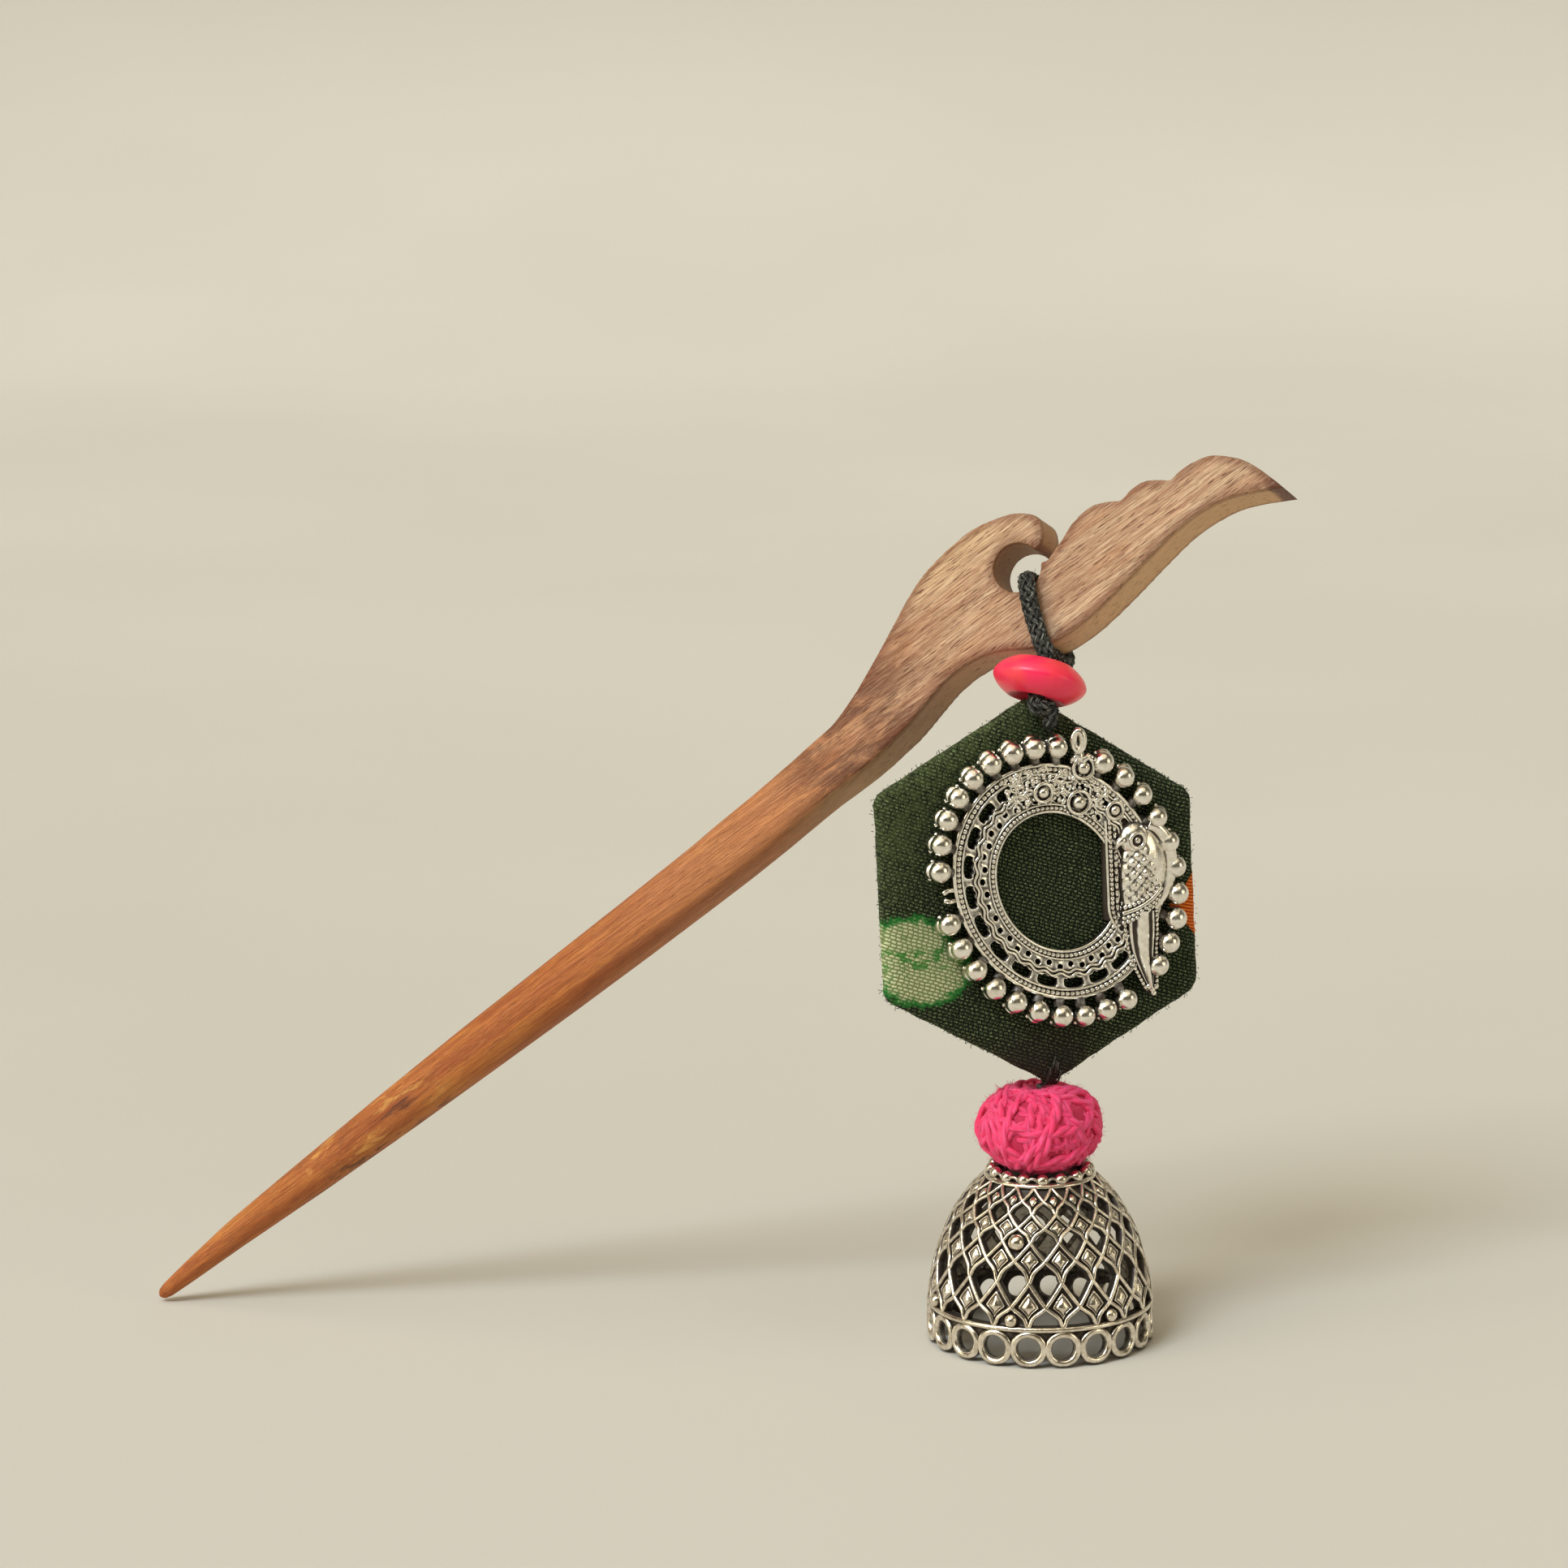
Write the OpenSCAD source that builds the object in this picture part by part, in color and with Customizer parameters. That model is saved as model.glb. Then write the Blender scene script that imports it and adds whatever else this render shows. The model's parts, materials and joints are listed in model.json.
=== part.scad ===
// A carved wooden hair stick with a hanging drop: a braided cord loop, a saucer bead, a padded fabric
// hexagon with a pierced silver ring charm on it, a ball of wound yarn and a pierced silver bell.
// Millimetres, +Z up. The origin is on the shaft's axis, where the hair holds the stick.
// X runs from the tip towards the wing, -Y is the front, and the drop hangs along -Z.

/* [Stick] */
// Length of the tapered shaft, from the tip to the neck
shaft_l = 112; // [90:1:140]
// Length of the carved head, from the neck to the tip of the wing
head_l = 68; // [58:1:84]
// Height that the head's outline is drawn to
head_h = 20; // [18:0.5:24]
// Width of the shaft where it meets the head
shaft_w = 7.5; // [6.5:0.1:9]
// Thickness of the wood
stick_t = 7.2; // [6:0.1:9]
// Diameter of the eye that the cord passes through
eye_d = 6.2; // [5.2:0.1:6.8]
// Distance from the tip to the place where the hair holds the stick
grip_at = 60; // [40:1:85]
// Slope of the stick above the level, in degrees
stick_slant = 36.8; // [30:0.2:44]
// Turn of the stick about its own length that shows its front to the sky, in degrees
stick_roll = 25.5; // [15:0.5:32]

/* [Cord and bead] */
// Width of the braided cord
cord_w = 2.4; // [1.8:0.1:2.6]
// Thickness of the braided cord, which is a little flat
cord_t = 1.9; // [1.5:0.1:2]
// Length of the cord's sewn end that lies on the fabric
cord_end = 3.4; // [2:0.2:6]
// Diameter of the saucer bead
bead_d = 11.7; // [10:0.1:13.5]
// Height of the saucer bead along its bore
bead_h = 6.6; // [5.6:0.1:7.5]
// Lean of the bead's axis towards the back, in degrees
bead_back = 21; // [12:1:26]
// Lean of the bead's axis towards the wing, in degrees
bead_side = 12; // [4:1:16]

/* [Fabric hexagon] */
// Width of the padded hexagon
pad_w = 43; // [38:0.5:50]
// Height of the padded hexagon, point to point
pad_h = 49.4; // [44:0.5:58]
// Thickness of the padded hexagon at its middle
pad_t = 3.6; // [3:0.1:5]
// Radius of the pad's corners, seen from the front
corner_r = 2.4; // [1.5:0.1:4]
// Turn of the pad about the upright, in degrees
pad_turn = 27.6; // [0:0.2:35]

/* [Ring charm] */
// Length of the ring's oval, between the centres of opposite balls
ring_long = 36.6; // [32:0.2:38]
// Width of the ring's oval, between the centres of opposite balls
ring_short = 30.2; // [27:0.2:32]
// Turn of the oval's length from the pad's width, in degrees
ring_turn = 124.8; // [90:0.2:150]
// Sideways place of the ring's centre on the pad
ring_x = 1; // [-1:0.1:2]
// Upward place of the ring's centre on the pad
ring_y = 1.4; // [-1:0.1:2]
// Thickness of the ring's pierced band
band_t = 1.2; // [0.8:0.1:2]
// Diameter of the balls round the ring
ball_d = 2.8; // [2.2:0.1:3]

/* [Yarn ball] */
// Diameter of the yarn ball
yarn_d = 15.4; // [13:0.2:18]
// Height of the yarn ball
yarn_h = 11.8; // [9:0.2:14]
// Diameter of the black thread below the pad
thread_d = 1; // [0.8:0.1:1.4]

/* [Bell] */
// Diameter of the bell's rim
bell_d = 28.3; // [25:0.1:32]
// Diameter of the crown wire
crown_d = 13.8; // [12:0.1:15]
// Height of the lattice, from the rim wire to the crown wire
lattice_h = 15.9; // [13.1:0.2:20.1]
// Thickness of the lattice wall
bell_wall = 1; // [0.8:0.1:1.3]
// Thickness of the rim wire and of the crown wire
edge_wire = 0.8; // [0.6:0.1:1.1]
// Width of the wire that a rim circle is bent from
circle_wire = 0.6; // [0.4:0.05:0.8]
// Diameter of the balls on the crown
crown_ball_d = 1.7; // [1.5:0.1:2]
// Turn of the bell about the upright, in degrees
bell_turn = 6.6; // [0:0.2:18]

/* [Hidden] */
$fn = 48;

// Clearance between pieces that lie against each other
gap = 0.15;

// Columns of the shaft table, each a share of a named size
S_AT = 0;      // distance from the tip, of shaft_l
S_WIDTH = 1;   // width, of shaft_w
S_THICK = 2;   // thickness, of stick_t
S_RISE = 3;    // height of the middle above the stick's straight line, of shaft_w
S_CORNER = 4;  // 2 is a round section and more is a squarer one
SHAFT = [
    [0.000, 0.17, 0.17, 0.01, 2.0],
    [0.012, 0.26, 0.26, 0.02, 2.0],
    [0.045, 0.35, 0.36, 0.05, 2.0],
    [0.120, 0.50, 0.51, 0.11, 2.0],
    [0.240, 0.67, 0.69, 0.14, 2.0],
    [0.360, 0.80, 0.82, 0.18, 2.1],
    [0.480, 0.89, 0.91, 0.22, 2.2],
    [0.600, 0.94, 0.96, 0.25, 2.4],
    [0.720, 0.97, 0.98, 0.29, 2.7],
    [0.830, 0.98, 0.99, 0.34, 3.2],
    [0.920, 0.99, 0.99, 0.41, 4.5],
    [1.000, 0.99, 0.99, 0.50, 7.0]];
shaft_sides = 16;
// How far the shaft's plain end runs on inside the head
tenon = 2;

// Columns of the head's outline, each a share of a named size
H_AT = 0;     // distance from the neck, of head_l
H_RISE = 1;   // height above the line of the bar's lower edge, of head_h
H_CORNER = 2; // 1 at a sharp corner
HEAD = [
    [0.088, 0.015, 0], [0.151, 0.050, 0], [0.191, 0.075, 0], [0.240, 0.120, 0], [0.284, 0.158, 0],
    [0.322, 0.170, 0], [0.359, 0.162, 0], [0.391, 0.135, 0], [0.418, 0.090, 0], [0.446, 0.030, 0],
    [0.472, -0.020, 0], [0.503, -0.050, 0], [0.556, -0.060, 0], [0.615, -0.040, 0], [0.676, -0.005, 0],
    [0.738, 0.035, 0], [0.800, 0.068, 0], [0.854, 0.068, 0], [0.903, 0.040, 0], [0.946, -0.020, 0],
    [1.000, -0.120, 1], [0.991, -0.015, 0], [0.979, 0.105, 0], [0.962, 0.210, 0], [0.929, 0.320, 0],
    [0.901, 0.358, 0], [0.866, 0.370, 0], [0.837, 0.355, 1], [0.825, 0.395, 0], [0.800, 0.450, 0],
    [0.774, 0.462, 0], [0.743, 0.440, 1], [0.718, 0.495, 0], [0.687, 0.530, 0], [0.646, 0.510, 0],
    [0.618, 0.470, 0], [0.571, 0.410, 1], [0.519, 0.480, 1], [0.575, 0.520, 1], [0.590, 0.570, 0],
    [0.600, 0.660, 0], [0.593, 0.720, 0], [0.569, 0.790, 0], [0.540, 0.830, 0], [0.491, 0.870, 0],
    [0.435, 0.865, 0], [0.372, 0.830, 0], [0.324, 0.770, 0], [0.266, 0.670, 0], [0.212, 0.575, 0],
    [0.156, 0.485, 0], [0.110, 0.430, 0], [0.062, 0.385, 0]];
// Steps of the curve between two points of the outline
outline_steps = 2;

// The eye, in the stick's own frame: X along it, Y up across it, Z out of its front
eye = [shaft_l + 0.517 * head_l, 0.49 * head_h];
// The point of the bar's lower edge that the drop hangs under
hang = [shaft_l + 0.458 * head_l, 0];

// The stick's directions in the part's frame
along = [cos(stick_slant), 0, sin(stick_slant)];
across = [-sin(stick_slant) * cos(stick_roll), sin(stick_roll), cos(stick_slant) * cos(stick_roll)];
outward = [-sin(stick_slant) * sin(stick_roll), -cos(stick_roll), cos(stick_slant) * sin(stick_roll)];
grip_rise = lookup(grip_at, [for (s = SHAFT) [s[S_AT] * shaft_l, s[S_RISE] * shaft_w]]);

// A point of the stick's own frame, in the part's frame
function on_stick(p) = (p.x - grip_at) * along + (p.y - grip_rise) * across + p.z * outward;

// The upright line that the drop hangs on passes just in front of the bar
bar_edge = on_stick([hang.x, hang.y, stick_t / 2]);
drop = [bar_edge.x + 0.5 * cord_w, bar_edge.y - 0.85 * cord_w, 0];

// The bead hangs as close below the bar as its slanted disc lets it
bead_axis = [cos(bead_back) * sin(bead_side), sin(bead_back), cos(bead_back) * cos(bead_side)];
facing = abs(bead_axis * across);
bead_reach = norm([bead_d / 2 * sqrt(1 - facing * facing), bead_h / 2 * facing]);
// Height that the arch of the bar's underside leaves free above the bead
arch = 0.035 * head_h;
bar_low = on_stick([hang.x, hang.y, 0]);
hang_line = bar_low.z - ((drop.x - bar_low.x) * across.x + (drop.y - bar_low.y) * across.y) / across.z;
bead_at = [drop.x, drop.y, hang_line - (bead_reach + gap - arch) / across.z];
bore_r = cord_w + gap;
mouth_r = bore_r + 0.4 * cord_w;

// Heights of the drop's pieces, each below the one before it
pad_top = bead_at.z - bead_h / 2 * cos(bead_back) + 0.2 * bead_h;
pad_mid = pad_top - pad_h / 2;
yarn_top = pad_top - pad_h + 0.02 * yarn_h;
yarn_mid = yarn_top - yarn_h / 2;
plate_top = yarn_top - yarn_h - gap;
plate_t = 0.5;
plate_drop = 0.05;

// A smooth curve through the points of a closed outline, with its marked corners kept sharp
function bend(p, q, r, s, t) = 0.5 * (2 * q + (r - p) * t + (2 * p - 5 * q + 4 * r - s) * t * t
    + (3 * q - p - 3 * r + s) * t * t * t);
function before(pts, corner, i) = corner[i] == 1 ? pts[i] : pts[(i + len(pts) - 1) % len(pts)];
function after(pts, corner, i) = corner[i] == 1 ? pts[i] : pts[(i + 1) % len(pts)];
function smooth_loop(pts, corner, steps) = [for (i = [0:len(pts) - 1], k = [0:steps - 1])
    let (j = (i + 1) % len(pts))
    bend(before(pts, corner, i), pts[i], pts[j], after(pts, corner, j), k / steps)];

// A smooth curve through the points of an open route
function smooth_route(pts, steps) = let (last = len(pts) - 1)
    concat([for (i = [0:last - 1], k = [0:steps - 1])
        bend(pts[max(i - 1, 0)], pts[i], pts[i + 1], pts[min(i + 2, last)], k / steps)], [pts[last]]);

// Joins rings of points into one skin with flat ends. Each ring runs anticlockwise, seen from the last one
module loft(rings) {
    n = len(rings[0]);
    last = len(rings) - 1;
    sides = [for (i = [0:last - 1], j = [0:n - 1], half = [0, 1])
        let (a = i * n + j, b = i * n + (j + 1) % n)
        half == 0 ? [a, b + n, b] : [a, a + n, b + n]];
    ends = [[for (j = [0:n - 1]) j], [for (j = [n - 1:-1:0]) last * n + j]];
    polyhedron([for (ring = rings) each ring], concat(sides, ends), convexity = 6);
}

// Joins rings of points into one skin whose last ring meets its first. Each runs anticlockwise, seen from
// the next
module hoop(rings) {
    n = len(rings[0]);
    m = len(rings);
    sides = [for (i = [0:m - 1], j = [0:n - 1], half = [0, 1])
        let (k = (i + 1) % m, next = (j + 1) % n, a = i * n + j, b = i * n + next,
            c = k * n + next, d = k * n + j)
        half == 0 ? [a, c, b] : [a, d, c]];
    polyhedron([for (ring = rings) each ring], sides, convexity = 6);
}

// Makes one skin of triangles, each a list of points that runs anticlockwise, seen from outside
module skin(triangles) {
    polyhedron([for (t = triangles) each t], [for (i = [0:len(triangles) - 1]) [3 * i + 2, 3 * i + 1, 3 * i]],
        convexity = 8);
}

function unit(v) = v / norm(v);
function power_of(c, corner) = sign(c) * pow(abs(c), 2 / corner);

module on_the_stick() {
    rotate([90 - stick_roll, -stick_slant, 0]) translate([-grip_at, -grip_rise, 0]) children();
}

// The shaft's section at a row of its table, drawn at a distance from the tip
function shaft_ring(s, at, shrink = 1) = [for (j = [0:shaft_sides - 1])
    let (t = 360 * (j + 0.5) / shaft_sides)
    [at, s[S_RISE] * shaft_w + shrink * s[S_WIDTH] * shaft_w / 2 * power_of(cos(t), s[S_CORNER]),
        shrink * s[S_THICK] * stick_t / 2 * power_of(sin(t), s[S_CORNER])]];

module shaft() {
    neck = SHAFT[len(SHAFT) - 1];
    loft(concat([for (s = SHAFT) shaft_ring(s, s[S_AT] * shaft_l)],
        [shaft_ring(neck, shaft_l + tenon, 0.8)]));
}

module head_outline() {
    pts = concat([[shaft_l, 0]], [for (h = HEAD) [shaft_l + h[H_AT] * head_l, h[H_RISE] * head_h]],
        [[shaft_l, shaft_w]]);
    corners = concat([1], [for (h = HEAD) h[H_CORNER]], [1]);
    difference() {
        polygon(smooth_loop(pts, corners, outline_steps));
        translate(eye) circle(d = eye_d);
    }
}

module stick() {
    color("peru") on_the_stick() {
        shaft();
        translate([0, 0, -stick_t / 2]) linear_extrude(stick_t) head_outline();
    }
}

// The cord's route: from its sewn end up through the bead, over the front of the bar, through the eye,
// down the back, under the bar and into the bead again
cord_sides = 8;
cord_steps = 3;
cord_off = cord_t / 2 + gap;
eye_low = eye.y - eye_d / 2 + cord_off;
front = stick_t / 2 + cord_off + 0.25;
function on_bead(p) = bead_at + p.x * unit(cross([0, 1, 0], bead_axis)) + p.z * bead_axis
    + p.y * unit(cross(bead_axis, cross([0, 1, 0], bead_axis)));
pad_front = [drop.x, drop.y, 0] + (pad_t / 2 + cord_off) * [sin(pad_turn), -cos(pad_turn), 0];
route = [
    [pad_front.x, pad_front.y, pad_top - cord_end],
    [pad_front.x, pad_front.y, pad_top - 1.2],
    on_bead([0.3, -cord_off - 0.9, -bead_h / 2 - 0.2]),
    on_bead([0, -cord_off, 0]),
    on_bead([0, -cord_off - 0.5, bead_h / 2]),
    on_stick([hang.x + 1.7, hang.y - 0.7, front]),
    on_stick([hang.x + 3, (hang.y + eye_low) / 2, front]),
    on_stick([eye.x + 0.2, eye_low - 1, front]),
    on_stick([eye.x + 0.3, eye_low, stick_t / 2 - 0.6]),
    on_stick([eye.x + 0.3, eye_low, -stick_t / 2 + 0.6]),
    on_stick([eye.x, eye_low - 1, -front]),
    on_stick([hang.x + 2.8, (hang.y + eye_low) / 2, -front]),
    on_stick([hang.x + 1.6, hang.y - 0.8, -front]),
    on_stick([hang.x + 1.3, hang.y - cord_off - 0.9, -stick_t / 4]),
    on_bead([0.1, cord_off, bead_h / 2 + 0.2]),
    on_bead([0, cord_off, 0])];
// A ring of points round the route, in a frame that keeps to the stick's length
function cord_ring(at, ahead) =
    let (side = unit(along - (along * ahead) * ahead), up = cross(ahead, side))
    [for (j = [0:cord_sides - 1]) let (t = 360 * (j + 0.5) / cord_sides)
        at + cord_w / 2 * cos(t) * side + cord_t / 2 * sin(t) * up];

module cord_loop() {
    pts = smooth_route(route, cord_steps);
    last = len(pts) - 1;
    color("black") loft([for (i = [0:last])
        cord_ring(pts[i], unit(pts[min(i + 1, last)] - pts[max(i - 1, 0)]))]);
}

// A turned saucer, with a countersink at both mouths of its bore
module saucer_bead() {
    rim = acos(2 * mouth_r / bead_d);
    steps = 12;
    mouth_z = bead_h / 2 * sin(rim);
    outside = [for (i = [0:steps])
        let (t = -rim + 2 * rim * i / steps) [bead_d / 2 * cos(t), bead_h / 2 * sin(t)]];
    bore = [[bore_r, mouth_z - (mouth_r - bore_r)], [bore_r, -mouth_z + (mouth_r - bore_r)]];
    color("hotpink") translate(bead_at) rotate([-bead_back, bead_side, 0])
        rotate_extrude() polygon(concat(outside, bore));
}

// Columns of the pad's corners, each a share of half the pad's width or height
C_X = 0;
C_Y = 1;
CORNERS = [[0.94, 0.455], [-0.06, 1.0], [-1.03, 0.55], [-0.97, -0.49], [0.06, -1.0], [1.0, -0.57]];
corner_points = 5;
// Columns of the pad's sections, from its back to its front
P_SIZE = 0;   // size, of the whole outline
P_DEPTH = 1;  // place, of pad_t
SECTIONS = [[0.72, -0.50], [0.92, -0.44], [0.975, -0.32], [1, -0.12], [1, 0.12], [0.975, 0.32], [0.92, 0.44],
    [0.72, 0.50]];
function pad_corner(i) = let (c = CORNERS[(i + len(CORNERS)) % len(CORNERS)])
    [c[C_X] * pad_w / 2, c[C_Y] * pad_h / 2];

// The rounded corner between two edges, as points on its arc
function round_corner(p, q, r) = let (
    u = unit(p - q), v = unit(r - q), mid = unit(u + v), half = acos(u * v) / 2,
    centre = q + mid * corner_r / sin(half), from = -mid, turn = 90 - half)
    [for (k = [0:corner_points - 1]) let (t = turn * (2 * k / (corner_points - 1) - 1))
        centre + corner_r * [from.x * cos(t) - from.y * sin(t), from.x * sin(t) + from.y * cos(t)]];
pad_outline = [for (i = [0:len(CORNERS) - 1])
    each round_corner(pad_corner(i - 1), pad_corner(i), pad_corner(i + 1))];

module on_the_pad() {
    translate([drop.x, drop.y, pad_mid]) rotate([0, 0, pad_turn]) rotate([90, 0, 0]) children();
}

module fabric_hexagon() {
    color("darkgreen") on_the_pad()
        loft([for (s = SECTIONS)
            [for (p = pad_outline) [p.x * s[P_SIZE], p.y * s[P_SIZE], s[P_DEPTH] * pad_t]]]);
}

// The ring charm lies on the pad's front, drawn with Z out of the pad
ring_balls = 32;
band_out = 0.86;
band_in = 0.53;
// Slots of the band, the turn from one to the next and the turn of the first
slots = 12;
slot_turn = 17.14;
first_slot = -4.3;
// A point of the ring's oval, at a share of its size
function oval(t, share) = let (x = share * ring_long / 2 * cos(t), y = share * ring_short / 2 * sin(t))
    [x * cos(ring_turn) - y * sin(ring_turn), x * sin(ring_turn) + y * cos(ring_turn)];
function oval_loop(share, n) = [for (i = [0:n - 1]) oval(360 * i / n, share)];
// The straight panel beside the opening, which carries the bird
panel_x = 6.4;

module ring_band() {
    linear_extrude(band_t) difference() {
        polygon(oval_loop(band_out, 48));
        difference() {
            polygon(oval_loop(band_in, 36));
            translate([panel_x, -ring_long / 4]) square([ring_long / 4, ring_long / 2]);
        }
        for (i = [0:slots - 1]) slot(first_slot + slot_turn * i);
    }
}

// One scroll-shaped piercing of the band
module slot(t) {
    inner = 0.7;
    outer = 0.79;
    // Half its turn at the inner and at the outer side
    narrow = 5.4;
    wide = 5.8;
    polygon([oval(t - narrow, inner), oval(t - wide, outer), oval(t, outer + 0.004), oval(t + wide, outer),
        oval(t + narrow, inner), oval(t, inner - 0.01)]);
}

// A raised wire that follows the oval
module oval_wire(share, wire, lift) {
    turns = 28;
    sides = 4;
    hoop([for (i = [0:turns - 1]) let (t = 360 * i / turns, c = oval(t, share), out = unit(c))
        [for (j = [0:sides - 1]) let (a = -360 * j / sides)
            [c.x + wire / 2 * cos(a) * out.x, c.y + wire / 2 * cos(a) * out.y, lift + wire / 2 * sin(a)]]]);
}

// One ball on its tapered post. The ball stands just clear of the fabric
module ring_ball(t) {
    at = oval(t, 1);
    root = oval(t, band_out - 0.04);
    reach = at - root;
    translate([at.x, at.y, ball_d / 2]) rotate([0, 0, t]) sphere(d = ball_d, $fn = 10);
    translate([root.x, root.y, band_t / 2]) rotate([0, 0, atan2(reach.y, reach.x)]) hull() {
        cube([0.2, 1.1, 0.7 * band_t], center = true);
        translate([norm(reach), 0, 0]) cube([0.2, 0.7, 0.5 * band_t], center = true);
    }
}

// A rounded lump of the bird's relief, whose top stands above the band
module lump(at, size, top) {
    low = 0.1;
    translate([at.x, at.y, (band_t + top + low) / 2])
        scale([size.x / 2, size.y / 2, (band_t + top - low) / 2]) sphere(r = 1, $fn = 12);
}

// The bird on its panel: body, head, beak and long tail
module bird() {
    translate([0, 0, 0.1]) linear_extrude(band_t + 0.3)
        polygon([[6.5, 6.6], [9.6, 7.2], [13.4, 4.8], [14.6, 1.2], [13.8, -2.4], [12.6, -7.5],
            [12.8, -13.6], [11.3, -14.4], [9.6, -9.5], [7, -5], [6.3, 0]]);
    hull() {
        lump([11.2, 1.2], [5.4, 7.6], 1.6);
        lump([12, -2.6], [2.4, 3.2], 1.2);
    }
    lump([10.2, 4.9], [3.8, 3.8], 1.5);
    hull() {
        lump([12.3, -3.6], [2.2, 2.2], 1.2);
        lump([11.7, -8], [1.7, 2], 1.1);
    }
    hull() {
        lump([11.7, -8], [1.7, 2], 1.1);
        lump([12.1, -14], [1.1, 1.2], 0.8);
    }
    hull() {
        lump([8.7, 5], [1.4, 1.4], 0.8);
        lump([7.5, 4], [0.8, 0.8], 0.5);
    }
}

module boss(at, size) {
    translate([at.x, at.y, 0]) {
        translate([0, 0, 0.2]) cylinder(d = size, h = band_t + 0.3, $fn = 12);
        translate([0, 0, band_t + 0.3]) sphere(d = size * 0.6, $fn = 10);
    }
}

module ring_charm() {
    // Places of the ball that is lost, of the one that the bird's tail takes and of the hanging loop
    missing = 5;
    under_tail = 16;
    loop = 27;
    first_ball = 6;
    color("silver") on_the_pad() translate([ring_x, ring_y, pad_t / 2 + gap]) union() {
        ring_band();
        oval_wire(band_out - 0.022, 0.9, band_t);
        oval_wire(band_in + 0.033, 0.8, band_t);
        for (i = [0:ring_balls - 1]) if (i != missing && i != under_tail && i != loop)
            ring_ball(first_ball + 360 * i / ring_balls);
        bird();
        boss([2.7, 10.5], 3.4);
        boss([-1.6, 12.4], 2.4);
        boss([7.6, 8.6], 2.6);
        boss([3.8, 14.6], 2.6);
        // The hanging loop at the top, on a short stem
        translate([2.7, 17.6, 0.1 + 1.5]) rotate([0, 90, 0]) scale([1, 1.7, 1])
            rotate_extrude($fn = 10) translate([1, 0]) circle(d = 0.8, $fn = 6);
        hull() {
            translate([2.7, 15.4, 0.9]) cube([1.2, 1, 1], center = true);
            translate([3.1, 13.4, 0.7]) cube([1.8, 1, 0.9], center = true);
        }
    }
}

// The black thread, sewn round the pad's lower point, runs down through the ball to a knot in the bell
module lower_thread() {
    stitch = 3.5;
    strip = thread_d / 2;
    knot_d = 2.6 * thread_d;
    point = 0.06 * pad_w / 2;
    foot = pad_mid - pad_h / 2 - gap - strip / 2;
    depth = pad_t / 2 + gap;
    color("black") {
        on_the_pad() {
            for (z = [-depth - strip, depth]) translate([point - thread_d / 2, -pad_h / 2 - strip - gap, z])
                cube([thread_d, stitch, strip]);
            translate([-thread_d / 2, -pad_h / 2 - strip - gap, -depth - strip])
                cube([point + thread_d, strip, 2 * (depth + strip)]);
        }
        translate([drop.x, drop.y, plate_top - plate_t - knot_d])
            cylinder(d = thread_d, h = foot - plate_top + plate_t + knot_d);
        translate([drop.x, drop.y, plate_top - plate_t - knot_d / 2 - gap]) sphere(d = knot_d);
    }
}

// The wound ball: a squashed, slightly lumpy ball with a dimple round the thread
yarn_turns = 16;
yarn_points = 9;
function yarn_ring(t) =
    let (hole = thread_d / 2 + gap, lump = 1 + 0.02 * sin(3 * t + 40) + 0.015 * sin(5 * t))
    [for (k = [0:yarn_points - 1])
        let (a = 82 - 164 * k / (yarn_points - 1), corner = a > 0 ? 2.3 : 2,
            r = hole + (yarn_d / 2 - hole) * power_of(cos(a), corner) * lump)
        [r * cos(t), r * sin(t), yarn_h / 2 * power_of(sin(a), corner) * (1 - 0.28 * pow(1 - cos(a), 3))]];

module yarn_ball() {
    hole = thread_d / 2 + gap;
    color("deeppink") translate([drop.x, drop.y, yarn_mid]) hoop([for (i = [0:yarn_turns - 1])
        let (t = 360 * i / yarn_turns, top = 0.7 * yarn_h / 2)
        concat([[hole * cos(t), hole * sin(t), top]], yarn_ring(t), [[hole * cos(t), hole * sin(t), -top]])]);
}

// The bell's lattice: rows of lozenges, each a cell of the dome between two levels
cells = 20;
// Heights of the lattice's levels, as shares of lattice_h
LEVELS = [0, 0.155, 0.34, 0.503, 0.635, 0.736, 0.83, 0.916, 1];
open_rows = [2, 4, 6];
top_level = len(LEVELS) - 1;
// The dome is an ellipse that stands upright at the rim and passes through the crown wire
rim_z = plate_top + plate_drop - lattice_h;
upright = 2.7;
dome_b = (lattice_h + upright) / sqrt(1 - pow(crown_d / bell_d, 2));
function level_z(k) = lattice_h * lookup(k, [for (i = [0:top_level]) [i, LEVELS[i]]]);
function dome_r(z) = bell_d / 2 * sqrt(1 - pow((z + upright) / dome_b, 2));
// A point of the dome at a level and a place round it, some way into the wall
function dome_pt(k, j, depth) = let (z = level_z(k), r = dome_r(z) - depth * bell_wall, t = 360 * j / cells)
    [r * cos(t), r * sin(t), z];
// Depth of a closed cell's recess and of an open cell's inner edge, as shares of the wall
RECESS = 0.35;
MIDDLE = 0.55;
wire_share = 0.24;
function quad(a, b, c, d) = [[a, b, c], [a, c, d]];

// The corners of a cell in level and place, in order round it
function cell_corners(k, j) = let (m = j + (k % 2) / 2)
    k == 0 ? [[0, m - 0.5], [0, m + 0.5], [1, m]]
    : k == top_level ? [[k - 1, m], [k, m + 0.5], [k, m - 0.5]]
    : [[k - 1, m], [k, m + 0.5], [k + 1, m], [k, m - 0.5]];
function mean(pts, i = 0) = i == len(pts) - 1 ? pts[i] / len(pts) : pts[i] / len(pts) + mean(pts, i + 1);
function at_depth(p, depth) = dome_pt(p[0], p[1], depth);

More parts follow.
